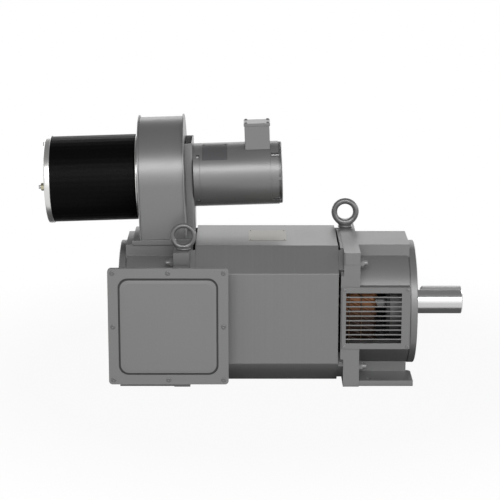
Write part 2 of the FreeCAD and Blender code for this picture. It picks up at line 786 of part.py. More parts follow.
def drive_end_bracket():
    body = bracket("drive_end_bracket", 1, DRIVE_FACE, "drive_bearing_radius", "shaft_hole")
    recess = rectangle(f"{DRIVE_FACE} - seal_recess", f"{DRIVE_FACE} + seal_recess", "0", "seal_radius")
    turn_out(body, recess)
    place = "(flange_bolt_circle / 2 / sqrt(2))"
    bolts = [(f"{y} * {place}", f"{z} * {place}", "flange_bolt_radius") for y in (-1, 1) for z in (-1, 1)]
    cut(body, circles(body, "YZ", bolts, DRIVE_FACE), "flange_bolt_depth", low_side=True)


def rear_bracket():
    bracket("rear_bracket", -1, REAR_FACE, "rear_bearing_radius", "shaft_hole")


# Louvred covers over the drive-end windows, and a plain one on the far side of the rear bracket
def window_covers():
    slot_start = f"({COVER_START} + louvre_slot_start)"
    slot_end = f"({DRIVE_COVER_END} - louvre_slot_margin)"
    low = "(-(louvre_count - 1) * louvre_pitch / 2 - louvre_slot / 2)"
    slot = rectangle(slot_start, slot_end, low, f"{low} + louvre_slot")
    plate = rectangle(COVER_START, DRIVE_COVER_END, "-cover_half", "cover_half")
    for label, side, low_side in (("front_louvre_cover", "-", True), ("back_louvre_cover", "", False)):
        body = new_body(label)
        pad(body, outline(body, "XZ", plate, f"{side}{BRACKET_HALF}"), "cover_plate_thick", low_side)
        first = cut(body, outline(body, "XZ", slot, f"{side}{BRACKET_HALF}"), "cover_plate_thick", low_side)
        row_of(body, first, "Z", "louvre_pitch", "louvre_count")
    body = new_body("rear_side_cover")
    blank = rectangle(f"-{REAR_COVER_END}", f"-{COVER_START}", "-cover_half", "cover_half")
    pad(body, outline(body, "XZ", blank, BRACKET_HALF), "cover_plate_thick")


# Studs screwed into the stator corners and the nuts that hold the brackets on them
def bracket_fasteners():
    body = new_body("bracket_studs")
    start = f"({FRAME_END} - stud_bite)"
    length = f"{RING_END} + stud_proud - {start}"
    pad(body, circles(body, "YZ", stud_circles("stud_radius"), start), length)
    pad(body, circles(body, "YZ", stud_circles("stud_radius"), f"-{start}"), length, low_side=True)
    body = new_body("bracket_nuts")
    for start, low_side in ((RING_END, False), (f"-{RING_END}", True)):
        for y in (-1, 1):
            for z in (-1, 1):
                shape = hexagon(f"{y} * {STUD_PLACE}", f"{z} * {STUD_PLACE}", "nut_half")
                pad(body, outline(body, "YZ", shape, start), "nut_thick", low_side)
        bores = circles(body, "YZ", stud_circles("stud_radius + stud_fit"), start)
        cut(body, bores, "nut_thick", low_side)


# Lifting eyes on opposite top corners: a shank and collar with a ring above, in the XZ plane
def eye_bolts():
    for end, sign in (("drive", 1), ("rear", -1)):
        label = f"{end}_eye_bolt"
        ring, wire, rise = f"{end}_eye_radius", f"{end}_eye_wire", f"{end}_eye_rise"
        body = new_body(label, f"{sign} * ({FRAME_END} + eye_setback)", f"{sign} * {EYE_PLACE}",
                        f"shaft_height + {BRACKET_TOP}")
        pad(body, circles(body, "XY", [("0", "0", "eye_shank")], "-eye_bite"), "eye_bite")
        side = outline(body, "XZ", [
            ("0", "0"), ("eye_collar - eye_collar_edge", "0"), ("eye_collar", "eye_collar_edge"),
            ("eye_collar", "eye_collar_thick"),
            (f"{wire} + eye_collar_edge", "eye_collar_thick + eye_neck_rise"),
            ("0", "eye_collar_thick + eye_neck_rise"),
        ])
        neck = body.newObject("PartDesign::Revolution", f"{label}_neck")
        neck.Profile = side
        neck.ReferenceAxis = (side, ["V_Axis"])
        neck.Angle = 360
        hoop = circles(body, "XY", [(ring, "0", wire)], rise)
        loop = body.newObject("PartDesign::Revolution", f"{label}_loop")
        loop.Profile = hoop
        loop.ReferenceAxis = (hoop, ["V_Axis"])
        loop.Angle = 360


# Terminal box on the near side of the rear bracket: adapter, folded box, gasket and pressed cover
def terminal_box():
    middle = f"-({FRAME_END} + terminal_back)"
    flange = f"({TERMINAL_BACK} + terminal_depth)"
    gasket = f"({flange} + terminal_sheet)"
    cover = f"({gasket} + gasket_thick)"
    y_axis = FreeCAD.Vector(0, 1, 0)

    def square(half):
        return rectangle(f"-{half}", half, f"-{half}", half)

    def box_body(label):
        return new_body(label, middle, z="shaft_height - terminal_drop")

    body = new_body("terminal_box_adapter")
    adapter_thick = f"({TERMINAL_BACK} - {BRACKET_HALF})"
    adapter_half = f"({WINDOW_HALF} + adapter_lap)"
    adapter_mid = f"(-({WINDOW_START} + {REAR_WINDOW_END}) / 2)"
    outer = rectangle(f"-{REAR_WINDOW_END} - adapter_lap", f"-{WINDOW_START} + adapter_lap",
                      f"-{adapter_half}", adapter_half)
    inner = rectangle(f"{adapter_mid} - lead_window_half", f"{adapter_mid} + lead_window_half",
                      "-lead_window_half", "lead_window_half")
    pad(body, outline(body, "XZ", outer, f"-{BRACKET_HALF}"), adapter_thick, low_side=True)
    cut(body, outline(body, "XZ", inner, f"-{BRACKET_HALF}"), adapter_thick, low_side=True)

    body = box_body("terminal_box_body")
    pad(body, outline(body, "XZ", square(WALL_HALF), f"-{TERMINAL_BACK}"), "terminal_depth", low_side=True)
    pad(body, outline(body, "XZ", square("terminal_half"), f"-{flange}"), "terminal_sheet", low_side=True)
    round_edges(body, "terminal_corner",
                lambda edge: along(edge, y_axis) and edge.Length < value("terminal_sheet") * 1.01)
    hollow = square(f"({WALL_HALF} - terminal_sheet)")
    floor = f"-{TERMINAL_BACK} - terminal_sheet"
    cut(body, outline(body, "XZ", hollow, floor), "terminal_depth", low_side=True)
    shift = f"({adapter_mid} - ({middle}))"
    leads = rectangle(f"{shift} - lead_window_half", f"{shift} + lead_window_half",
                      "terminal_drop - lead_window_half", "terminal_drop + lead_window_half")
    cut(body, outline(body, "XZ", leads, f"-{TERMINAL_BACK}"), "terminal_sheet", low_side=True)

    body = box_body("terminal_box_gasket")
    pad(body, outline(body, "XZ", square("(terminal_half - terminal_corner)"), f"-{gasket}"),
        "gasket_thick", low_side=True)
    cut(body, outline(body, "XZ", hollow, f"-{gasket}"), "gasket_thick", low_side=True)

    body = box_body("terminal_box_cover")
    pad(body, outline(body, "XZ", square("terminal_half"), f"-{cover}"), "cover_thick", low_side=True)
    round_edges(body, "terminal_corner", lambda edge: along(edge, y_axis))
    front = f"({cover} + cover_thick)"
    panel = rounded_square(body, PANEL_HALF, "panel_corner", f"-{front}")
    cut(body, panel, "panel_groove_depth")
    raised = rounded_square(body, f"({PANEL_HALF} - panel_groove)", "(panel_corner - panel_groove / 2)",
                            f"-{front} + panel_groove_depth")
    pad(body, raised, "panel_groove_depth + panel_rise", low_side=True)


def rounded_square(body, half, corner, at):
    flat = f"({half} - {corner})"
    return outline(body, "XZ", [
        (half, f"-{flat}", corner, 1), (half, flat), (flat, half, corner, 1), (f"-{flat}", half),
        (f"-{half}", flat, corner, 1), (f"-{half}", f"-{flat}"),
        (f"-{flat}", f"-{half}", corner, 1), (flat, f"-{half}"),
    ], at)


# Wedge-shaped base plate that carries the leaning blower on the rear bracket's top block
def blower_base_plate():
    place = f"-({FRAME_END} + blower_back)"
    body = new_body("blower_base_plate", place, "0", f"shaft_height + {BRACKET_TOP}")
    top = "base_rise + {} * tan(tilt)"
    side = outline(body, "XZ", [
        (f"-{BASE_FRONT}", "0"), (BASE_REAR, "0"), (BASE_REAR, top.format(BASE_REAR)),
        (f"-{BASE_FRONT}", top.format(f"-{BASE_FRONT}")),
    ], BASE_HALF)
    pad(body, side, f"2 * {BASE_HALF}", low_side=True)
    air_way = rectangle("base_duct_wall - scroll_width / 2", "scroll_width / 2 - base_duct_wall",
                        "base_duct_wall - block_half", "block_half - base_duct_wall")
    cut(body, outline(body, "XY", air_way), "2 * base_rise")


# Volute outline in the plane across the blower axis, grown outwards by a margin. drop is how far
# below the axis it ends.
def volute(body, grow, drop, at):
    radius = f"(scroll_radius + {grow})"
    tail = f"(scroll_tail_radius + {grow})"
    offset = "(scroll_radius - scroll_tail_radius)"
    centre_y = f"({offset} * cos(scroll_turn))"
    centre_z = f"({offset} * sin(scroll_turn))"
    lip_y = f"(-scroll_cutoff + {grow})"
    lip_z = f"({centre_z} - sqrt({tail} * {tail} - ({lip_y} - {centre_y}) * ({lip_y} - {centre_y})))"
    return outline(body, "YZ", [
        (f"-{radius}", f"-({drop})"), (lip_y, f"-({drop})"), (lip_y, lip_z),
        (f"{centre_y} + {tail}", centre_z, tail, 1),
        (f"{radius} * cos(scroll_turn)", f"{radius} * sin(scroll_turn)", tail, 1),
        ("0", radius, radius, 1), (f"-{radius}", "0", radius, 1),
    ], at)


# Scroll housing: a wrapped band between two side plates whose rims stand proud of it
def scroll():
    band_width = "(scroll_width - 2 * scroll_sheet)"
    body = blower_body("scroll_band")
    pad(body, volute(body, "0", "scroll_drop", f"-{band_width} / 2"), band_width)
    cut(body, volute(body, "-scroll_sheet", "scroll_drop + scroll_sheet", f"-{band_width} / 2"), band_width)
    for label, start, hole in (("scroll_inlet_plate", f"-{SCROLL_SIDE}", INLET_HOLE),
                               ("scroll_motor_plate", f"{SCROLL_SIDE} - scroll_sheet", "scroll_motor_hole")):
        body = blower_body(label)
        pad(body, volute(body, "scroll_rim", "scroll_drop", start), "scroll_sheet")
        cut(body, circles(body, "YZ", [("0", "0", hole)], start), "scroll_sheet")


# Spun inlet ring with a throat that reaches into the impeller's eye
def inlet_ring():
    body = blower_body("inlet_ring")
    face = f"-{SCROLL_SIDE}"
    throat_end = f"({face} + impeller_gap - inlet_gap)"
    rim = "(filter_radius - inlet_flange_inset)"
    turn_on(body, [
        (f"{face} - inlet_flange_thick", "inlet_throat + inlet_sheet"),
        (f"{face} - inlet_flange_thick", rim), (face, rim),
        (face, "inlet_throat + 2 * inlet_sheet"), (throat_end, "inlet_throat + inlet_sheet"),
        (throat_end, "inlet_throat"), (face, "inlet_throat"),
    ])


# Air filter: a foam sleeve on tie rods, held by a spun cap and nuts
def air_filter():
    body = blower_body("filter_element")
    cap_disc = f"({CAP_END} + filter_cap_sheet)"
    turn_on(body, rectangle(cap_disc, FILTER_START, "filter_radius - filter_wall", "filter_radius"))
    body = blower_body("filter_end_cap")
    rim_bore = "(filter_radius + filter_cap_fit)"
    rim = f"({rim_bore} + filter_cap_sheet)"
    turn_on(body, [
        (CAP_END, "0"), (CAP_END, f"{rim} - filter_cap_sheet"), (f"{CAP_END} + filter_cap_sheet", rim),
        (FILTER_END, rim), (FILTER_END, rim_bore), (cap_disc, rim_bore), (cap_disc, "0"),
    ])
    rod_holes = circles(body, "YZ", [(f"-{ROD_PLACE}", "0", "filter_rod_radius + stud_fit")], CAP_END)
    ring_of(body, cut(body, rod_holes, "filter_cap_sheet"), "filter_rod_count")
    body = blower_body("filter_rods")
    rod_end = f"({CAP_END} - filter_rod_proud)"
    rod = circles(body, "YZ", [(f"-{ROD_PLACE}", "0", "filter_rod_radius")], rod_end)
    ring_of(body, pad(body, rod, f"{FILTER_START} - {rod_end}"), "filter_rod_count")
    body = blower_body("filter_nuts")
    nut = outline(body, "YZ", hexagon(f"-{ROD_PLACE}", "0", "filter_nut_half"), CAP_END)
    nuts = pad(body, nut, "filter_nut_thick", low_side=True)
    ring_of(body, nuts, "filter_rod_count")
    bore = circles(body, "YZ", [(f"-{ROD_PLACE}", "0", "filter_rod_radius + stud_fit")], CAP_END)
    ring_of(body, cut(body, bore, "filter_nut_thick", low_side=True), "filter_rod_count")


# Forward-curved impeller: back disc with a hub sleeve, curved blades and a front rim
def impeller():
    body = blower_body("impeller")
    front = f"(-{SCROLL_SIDE} + impeller_gap)"
    back = f"({front} + impeller_width)"
    disc = f"({back} - impeller_disc)"
    turn_on(body, [
        (f"{back} - hub_sleeve_length", "fan_shaft_radius + seat_fit"), (back, "fan_shaft_radius + seat_fit"),
        (back, "impeller_radius"), (disc, "impeller_radius"), (disc, "hub_sleeve"),
        (f"{back} - hub_sleeve_length", "hub_sleeve"),
    ])
    turn_on(body, rectangle(front, f"{front} + impeller_disc", "impeller_radius - impeller_rim_wall",
                            "impeller_radius"))
    tip = "(impeller_radius - blade_thick)"
    root = "(impeller_eye + blade_thick)"
    blade = outline(body, "YZ", [
        ("blade_thick", root), ("blade_lead + blade_thick", tip, "blade_curve", -1), ("blade_lead", tip),
        ("0", root, "blade_curve", 1),
    ], front)
    blades = pad(body, blade, "impeller_width")
    ring_of(body, blades, "blade_count")


# Upright channel, open at the top, with a stiffening plate inside, that carries the blower motor
def motor_mount():
    z_axis = FreeCAD.Vector(0, 0, 1)
    outer_bend = value(MOUNT_END) - value("pan_sheet")

    def upright(inset, top):
        half = f"(pan_half - {inset})"
        far = f"({BASE_HALF} - blower_side - {inset})"
        return [(f"-{half}", "-scroll_drop"), (far, "-scroll_drop"), (half, f"-{half}"), (half, top),
                (f"-{half}", top)]

    body = blower_body("motor_mount_pan")
    pad(body, outline(body, "YZ", upright("0", PAN_TOP), SCROLL_SIDE), "pan_depth")
    round_edges(body, "pan_bend", lambda edge: along(edge, z_axis) and edge.CenterOfMass.x > outer_bend)
    cut(body, outline(body, "YZ", upright("pan_sheet", PAN_TOP), SCROLL_SIDE), "pan_depth - pan_sheet")
    cut(body, circles(body, "YZ", [("0", "0", "scroll_motor_hole")], SCROLL_SIDE), "pan_depth")
    body = blower_body("motor_mount_plate")
    plate = outline(body, "YZ", upright("pan_sheet", f"{PAN_TOP} - mount_plate_drop"), PLATE_START)
    pad(body, plate, "mount_plate_thick")
    cut(body, circles(body, "YZ", [("0", "0", "scroll_motor_hole")], PLATE_START), "mount_plate_thick")


# Four pockets at the corners of a bell's rim, where the through bolts show
def bolt_pockets(body, start, length):
    floor = "(fan_motor_radius - fan_pocket_depth)"
    outside = "(fan_motor_radius + fan_pocket_depth)"
    steps = []
    for reach, side in ((floor, "+"), (outside, "+"), (outside, "-"), (floor, "-")):
        back = "-" if side == "+" else "+"
        steps.append((f"({reach} {back} fan_pocket_half) / sqrt(2)", f"({reach} {side} fan_pocket_half) / sqrt(2)"))
    pockets = cut(body, outline(body, "YZ", steps, start), length)
    ring_of(body, pockets, "fan_bolt_count")


# Blower motor: rolled shell between two end bells with bearing hubs
def fan_motor_housing():
    body = blower_body("fan_motor_shell")
    turn_on(body, rectangle(SHELL_START, SHELL_END, "fan_motor_radius - fan_shell_wall", "fan_motor_radius"))
    body = blower_body("fan_front_bell")
    seat = "(fan_bearing_radius + seat_fit)"
    hole = "(fan_shaft_radius + fan_ring_wall + fan_hub_clearance)"
    front_seat = f"({MOUNT_END} + fan_bell_wall)"
    turn_on(body, [
        (MOUNT_END, hole), (MOUNT_END, "fan_motor_radius"), (SHELL_START, "fan_motor_radius"),
        (SHELL_START, "fan_motor_radius - fan_rim_wall"), (front_seat, "fan_motor_radius - fan_rim_wall"),
        (front_seat, "fan_hub_radius"), (f"{front_seat} + fan_bearing_width", "fan_hub_radius"),
        (f"{front_seat} + fan_bearing_width", seat), (front_seat, seat), (front_seat, hole),
    ])
    bolt_pockets(body, f"{SHELL_START} - fan_front_pocket", "fan_front_pocket")
    body = blower_body("fan_rear_bell")
    rear_seat = f"({FAN_END} - fan_bell_wall)"
    turn_on(body, [
        (FAN_END, "0"), (FAN_END, "fan_motor_radius - fan_bell_round"),
        (f"{FAN_END} - fan_bell_round", "fan_motor_radius", "fan_bell_round", 1),
        (SHELL_END, "fan_motor_radius"), (SHELL_END, "fan_motor_radius - fan_rim_wall"),
        (rear_seat, "fan_motor_radius - fan_rim_wall"), (rear_seat, "fan_hub_radius"),
        (f"{rear_seat} - fan_bearing_width", "fan_hub_radius"), (f"{rear_seat} - fan_bearing_width", seat),
        (rear_seat, seat), (rear_seat, hole), (f"{rear_seat} + fan_hub_clearance", hole),
        (f"{rear_seat} + fan_hub_clearance", "0"),
    ])
    vent = rectangle("-fan_vent_length / 2", "fan_vent_length / 2", "fan_vent_place - fan_vent_width / 2",
                     "fan_vent_place + fan_vent_width / 2")
    vents = cut(body, outline(body, "YZ", vent, FAN_END), "fan_bell_wall", low_side=True)
    ring_of(body, vents, "fan_vent_count")
    slot_end = f"({FAN_END} - fan_slot_lip)"
    slot_start = f"({slot_end} - fan_slot_width)"
    slot_floor = "(fan_motor_radius - fan_slot_depth)"
    turn_out(body, rectangle(slot_start, slot_end, slot_floor, "fan_motor_radius + fan_slot_depth"))
    rib = rectangle("fan_rib_set - fan_motor_radius", f"fan_rib_set - {slot_floor}", "-fan_rib_half", "fan_rib_half")
    ribs = pad(body, outline(body, "YZ", rib, slot_start), "fan_slot_width")
    ring_of(body, ribs, "fan_bolt_count")
    bolt_pockets(body, f"{slot_start} - fan_pocket_length", "fan_pocket_length")


# Blower motor inside: stator ring with coil ends, rotor, shaft and bearings
def fan_motor_inside():
    start = f"({SHELL_START} + (fan_shell_length - fan_core_length) / 2)"
    end = f"({start} + fan_core_length)"
    core_top = "(fan_motor_radius - fan_shell_wall - seat_fit)"
    body = blower_body("fan_stator_core")
    turn_on(body, rectangle(start, end, "fan_core_bore", core_top))
    body = blower_body("fan_stator_coils")
    low = "(fan_core_bore + fan_hub_clearance)"
    for edge, far in ((start, f"({start} - fan_coil_length)"), (end, f"({end} + fan_coil_length)")):
        turn_on(body, rectangle(edge, far, low, f"{low} + fan_coil_wall"))
    body = blower_body("fan_rotor_core")
    turn_on(body, rectangle(start, end, "fan_shaft_radius + seat_fit", "fan_core_bore - fan_air_gap"))
    body = blower_body("fan_shaft")
    tip = f"(-{SCROLL_SIDE} + impeller_gap + impeller_width - hub_sleeve_length)"
    tail = f"({FAN_END} - fan_bell_wall)"
    turn_on(body, rectangle(tip, tail, "0", "fan_shaft_radius"))
    for label, seat in (("fan_front_bearing", f"({MOUNT_END} + fan_bell_wall)"),
                        ("fan_rear_bearing", f"({tail} - fan_bearing_width)")):
        bearing(blower_body, label, seat, "fan_bearing_width", "fan_bearing_radius",
                "fan_shaft_radius + seat_fit", "fan_ring_wall")


# Conduit box saddled on the blower motor shell, with a lid
def conduit():
    end = f"({SHELL_END} - conduit_margin)"
    start = f"({end} - conduit_length)"
    body = blower_body("conduit_box")
    block = rectangle(start, end, CONDUIT_NEAR, CONDUIT_FAR)
    inside = rectangle(f"{start} + conduit_sheet", f"{end} - conduit_sheet", f"{CONDUIT_NEAR} + conduit_sheet",
                       f"{CONDUIT_FAR} - conduit_sheet")
    pad(body, outline(body, "XY", block, "0"), CONDUIT_HEIGHT)
    turn_out(body, rectangle(f"{start} - conduit_sheet", f"{end} + conduit_sheet", "0", "fan_motor_radius"))
    depth = f"{CONDUIT_HEIGHT} - fan_motor_radius"
    cut(body, outline(body, "XY", inside, CONDUIT_HEIGHT), depth, low_side=True)
    body = blower_body("conduit_lid")
    lid = rectangle(f"{start} - conduit_lid_lip", f"{end} + conduit_lid_lip",
                    f"{CONDUIT_NEAR} - conduit_lid_lip", f"{CONDUIT_FAR} + conduit_lid_lip")
    pad(body, outline(body, "XY", lid, CONDUIT_HEIGHT), "conduit_lid_thick")


stator_core()
stator_winding()
rotor_core()
rotor_cage()
motor_shaft()
shaft_key()
shaft_bearings()
bearing_caps()
shaft_seal()
rear_end_cover()
drive_end_bracket()
rear_bracket()
window_covers()
bracket_fasteners()
eye_bolts()
terminal_box()
blower_base_plate()
scroll()
inlet_ring()
air_filter()
impeller()
motor_mount()
fan_motor_housing()
fan_motor_inside()
conduit()
doc.recompute()

# Every object has to be sound, and every pocket has to remove material, before anything is written
faults = []
for item in doc.Objects:
    if "Invalid" in item.State or "Error" in item.State:
        faults.append(f"{item.Label} failed")
    elif item.TypeId in ("PartDesign::Pocket", "PartDesign::Groove"):
        if item.Shape.Volume > item.BaseFeature.Shape.Volume - 1e-3:
            faults.append(f"{item.Label} cuts nothing")
for body in sub_parts:
    if body.Shape.isNull() or not body.Shape.isValid() or not body.Shape.Solids:
        faults.append(f"{body.Label} has no sound solid")
if faults:
    raise RuntimeError("; ".join(faults))

os.makedirs("parts", exist_ok=True)
for body in sub_parts:
    body.Shape.exportStep(f"parts/{body.Label}.step")
    print(body.Label, len(body.Shape.Solids), "solids", round(body.Shape.Volume))
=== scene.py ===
import json
import math
import bmesh
import bpy
import numpy as np
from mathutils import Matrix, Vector


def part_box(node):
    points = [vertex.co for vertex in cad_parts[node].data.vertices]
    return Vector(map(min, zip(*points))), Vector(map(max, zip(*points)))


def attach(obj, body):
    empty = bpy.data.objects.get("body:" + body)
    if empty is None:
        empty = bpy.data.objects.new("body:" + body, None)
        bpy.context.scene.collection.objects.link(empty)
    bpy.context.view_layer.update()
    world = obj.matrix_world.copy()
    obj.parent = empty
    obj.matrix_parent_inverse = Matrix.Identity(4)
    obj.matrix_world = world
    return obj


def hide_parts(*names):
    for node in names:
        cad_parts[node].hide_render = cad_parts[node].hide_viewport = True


# Looks of the drip-proof motor: finishes for every CAD piece, softened copies of the castings and
# sheet parts, and the small pieces (screws, threads, coils, plates). Metres, the frame's own axes.

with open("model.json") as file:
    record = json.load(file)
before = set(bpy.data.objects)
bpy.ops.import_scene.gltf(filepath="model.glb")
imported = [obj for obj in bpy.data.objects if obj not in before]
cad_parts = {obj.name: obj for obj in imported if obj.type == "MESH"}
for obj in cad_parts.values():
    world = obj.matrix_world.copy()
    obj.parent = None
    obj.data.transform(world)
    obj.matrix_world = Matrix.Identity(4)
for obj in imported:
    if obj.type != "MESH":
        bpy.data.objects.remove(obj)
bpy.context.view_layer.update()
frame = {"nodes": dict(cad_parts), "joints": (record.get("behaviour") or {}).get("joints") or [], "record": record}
nodes = frame["nodes"]
bodyOf = {node: body for body, group in frame["record"]["behaviour"]["bodies"].items() for node in group}
slotOf = {part["node"]: part["material_slot"] for part in frame["record"]["subparts"]}
joints = {joint["name"]: joint for joint in frame["joints"]}


# Axes: each is a point, a direction along it, and the front and top directions across it

def axisOf(joint):
    along = np.array(joint["axis"], float)
    along /= np.linalg.norm(along)
    front = np.array([0.0, -1.0, 0.0])
    top = np.cross(front, along)
    return {"at": np.array(joint["pos_m"], float), "along": along, "front": front, "top": top}


def shiftedAxis(at, along, front):
    along, front = np.array(along, float), np.array(front, float)
    return {"at": np.array(at, float), "along": along, "front": front, "top": np.cross(front, along)}


shaftAxis = axisOf(joints["shaft_spin"])
blowerAxis = axisOf(joints["blower_spin"])


def pointsOf(mesh):  # all vertices as one array
    points = np.empty(len(mesh.vertices) * 3)
    mesh.vertices.foreach_get("co", points)
    return points.reshape(-1, 3)


def corners(node):
    return pointsOf(nodes[node].data)


def spanOn(node, axis):  # lowest and highest place along an axis, and the largest radius about it
    offset = corners(node) - axis["at"]
    along = offset @ axis["along"]
    radius = np.linalg.norm(offset - along[:, None] * axis["along"], axis=1)
    return along.min(), along.max(), radius.max()


# Surfaces: a part is (points, faces), and a piece joins parts into one mesh

def gridPart(points, wrapU=False, wrapV=False, capStart=False, capEnd=False):
    # a (rows, columns, 3) grid becomes quads; wrapV closes each row into a ring, caps close its ends
    rows, columns = points.shape[:2]
    u = np.arange(rows if wrapU else rows - 1)[:, None]
    v = np.arange(columns if wrapV else columns - 1)[None, :]
    nextU, nextV = (u + 1) % rows, (v + 1) % columns
    quads = np.stack([u * columns + v, u * columns + nextV, nextU * columns + nextV, nextU * columns + v], -1)
    faces = quads.reshape(-1, 4).tolist()
    ring = np.arange(columns)
    if capStart:
        faces.append(ring[::-1].tolist())
    if capEnd:
        faces.append((ring + (rows - 1) * columns).tolist())
    return points.reshape(-1, 3), faces


def fullTurn(segments):
    return np.linspace(0, 2 * math.pi, segments, endpoint=False)


def aroundAxis(axis, t):  # unit vectors across the axis: cos t front + sin t top
    return np.cos(t)[:, None] * axis["front"] + np.sin(t)[:, None] * axis["top"]


def turnedPart(profile, axis, segments=96, closed=False):
    # each (x, r) of the profile turns round the axis: at + x along + r (cos t front + sin t top)
    profile = np.array(profile, float)
    around = aroundAxis(axis, fullTurn(segments))
    points = axis["at"] + profile[:, :1, None] * axis["along"] + profile[:, 1:, None] * around
    return gridPart(points, wrapU=closed, wrapV=True, capStart=not closed, capEnd=not closed)


def tubePart(path, radius, sides=10, closed=False):
    # a circle of the given radius is carried along the path, square to its tangent
    path = np.array(path, float)
    if closed:
        tangent = np.roll(path, -1, 0) - np.roll(path, 1, 0)
    else:
        tangent = np.gradient(path, axis=0)
    tangent /= np.linalg.norm(tangent, axis=1)[:, None]
    outward = path - path.mean(0)
    across = np.cross(tangent, outward)
    across /= np.linalg.norm(across, axis=1)[:, None]
    over = np.cross(across, tangent)
    t = fullTurn(sides)
    circle = np.cos(t)[None, :, None] * across[:, None] + np.sin(t)[None, :, None] * over[:, None]
    points = path[:, None] + np.broadcast_to(radius, len(path))[:, None, None] * circle
    return gridPart(points, wrapU=closed, wrapV=True, capStart=not closed, capEnd=not closed)


def arcSteps(centreX, centreR, radius, fromDeg, toDeg, steps=7):
    # (x, r) points on a quarter round, for a turned profile
    t = np.radians(np.linspace(fromDeg, toDeg, steps))
    return list(zip(centreX + radius * np.cos(t), centreR + radius * np.sin(t)))


def addObject(name, data):
    item = bpy.data.objects.new(name, data)
    bpy.context.scene.collection.objects.link(item)
    return item


def makePiece(name, parts, material, sharpDeg=35.0):
    points = np.concatenate([part[0] for part in parts])
    faces, offset = [], 0
    for partPoints, partFaces in parts:
        faces += [[index + offset for index in face] for face in partFaces]
        offset += len(partPoints)
    mesh = bpy.data.meshes.new(name)
    mesh.from_pydata(points.tolist(), [], faces)
    shell = bmesh.new()
    shell.from_mesh(mesh)
    bmesh.ops.recalc_face_normals(shell, faces=shell.faces)
    shell.to_mesh(mesh)
    shell.free()
    mesh.shade_smooth()
    mesh.set_sharp_from_angle(angle=math.radians(sharpDeg))
    mesh.materials.append(material)
    piece = addObject(name, mesh)
    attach(piece, "housing")
    return piece


# Node helpers for the finishes

def addNode(tree, kind, inputs=None, **settings):
    node = tree.nodes.new(kind)
    for key, item in settings.items():
        setattr(node, key, item)
    for key, item in (inputs or {}).items():
        if isinstance(item, bpy.types.NodeSocket):
            tree.links.new(item, node.inputs[key])
        else:
            node.inputs[key].default_value = item
    return node


def newGroup(name, inputs, outputs):
    tree = bpy.data.node_groups.new(name, "ShaderNodeTree")
    for label, kind, start in inputs:
        socket = tree.interface.new_socket(label, in_out="INPUT", socket_type=f"NodeSocket{kind}")
        socket.default_value = start
    for label, kind in outputs:
        tree.interface.new_socket(label, in_out="OUTPUT", socket_type=f"NodeSocket{kind}")
    return tree, tree.nodes.new("NodeGroupInput"), tree.nodes.new("NodeGroupOutput")


def mathNode(tree, operation, first, second, third=0.0):
    return addNode(tree, "ShaderNodeMath", {0: first, 1: second, 2: third}, operation=operation).outputs[0]


def rampNode(tree, value, start, end, low, high=1.0):  # low up to start, high past end, straight between
    return addNode(tree, "ShaderNodeMapRange", {"Value": value, 1: start, 2: end, 3: low, 4: high}).outputs[0]


def objectPlace(tree):  # a point in the object's own coordinates
    return addNode(tree, "ShaderNodeTexCoord").outputs["Object"]


def splitPlace(tree, place):  # its X, Y and Z
    return addNode(tree, "ShaderNodeSeparateXYZ", {0: place}).outputs


def scaleColor(tree, color, factor):  # a colour times a grey factor
    mix = addNode(tree, "ShaderNodeMix", data_type="RGBA", blend_type="MULTIPLY")
    mix.inputs["Factor"].default_value = 1.0
    tree.links.new(color, mix.inputs[6])
    tree.links.new(factor, mix.inputs[7])
    return mix.outputs[2]


def paintFilmGroup():
    # sprayed enamel: broad drifts of tone, a fine orange-peel height and a slightly uneven gloss
    tree, given, out = newGroup("paint_film", [
        ("Color", "Color", (0.2, 0.2, 0.2, 1)), ("Drift", "Float", 0.05), ("Gloss", "Float", 0.4),
        ("Peel Scale", "Float", 420.0)], [("Color", "Color"), ("Roughness", "Float"), ("Height", "Float")])
    place = objectPlace(tree)
    broad = addNode(tree, "ShaderNodeTexNoise", {"Vector": place, "Scale": 7.0, "Detail": 4.0})
    peel = addNode(tree, "ShaderNodeTexNoise", {"Vector": place, "Scale": given.outputs["Peel Scale"],
                                                "Detail": 2.0})
    swing = mathNode(tree, "SUBTRACT", broad.outputs["Fac"], 0.5)
    tone = mathNode(tree, "MULTIPLY_ADD", swing, given.outputs["Drift"], 1.0)
    tree.links.new(scaleColor(tree, given.outputs["Color"], tone), out.inputs["Color"])
    gloss = mathNode(tree, "MULTIPLY_ADD", swing, 0.12, given.outputs["Gloss"])
    tree.links.new(gloss, out.inputs["Roughness"])
    tree.links.new(peel.outputs["Fac"], out.inputs["Height"])
    return tree


def castSkinGroup():
    # sand-cast skin: two sizes of grain added into one height, and a little tone in the hollows
    tree, given, out = newGroup("cast_skin", [("Grain Scale", "Float", 260.0)],
                                [("Tone", "Float"), ("Height", "Float")])
    place = objectPlace(tree)
    coarse = addNode(tree, "ShaderNodeTexNoise", {"Vector": place, "Scale": given.outputs["Grain Scale"],
                                                  "Detail": 5.0, "Roughness": 0.6})
    pits = addNode(tree, "ShaderNodeTexVoronoi", {"Vector": place, "Scale": given.outputs["Grain Scale"]})
    height = mathNode(tree, "MULTIPLY_ADD", pits.outputs["Distance"], 0.35, coarse.outputs["Fac"])
    tone = mathNode(tree, "MULTIPLY_ADD", coarse.outputs["Fac"], 0.1, 0.95)
    tree.links.new(tone, out.inputs["Tone"])
    tree.links.new(height, out.inputs["Height"])
    return tree


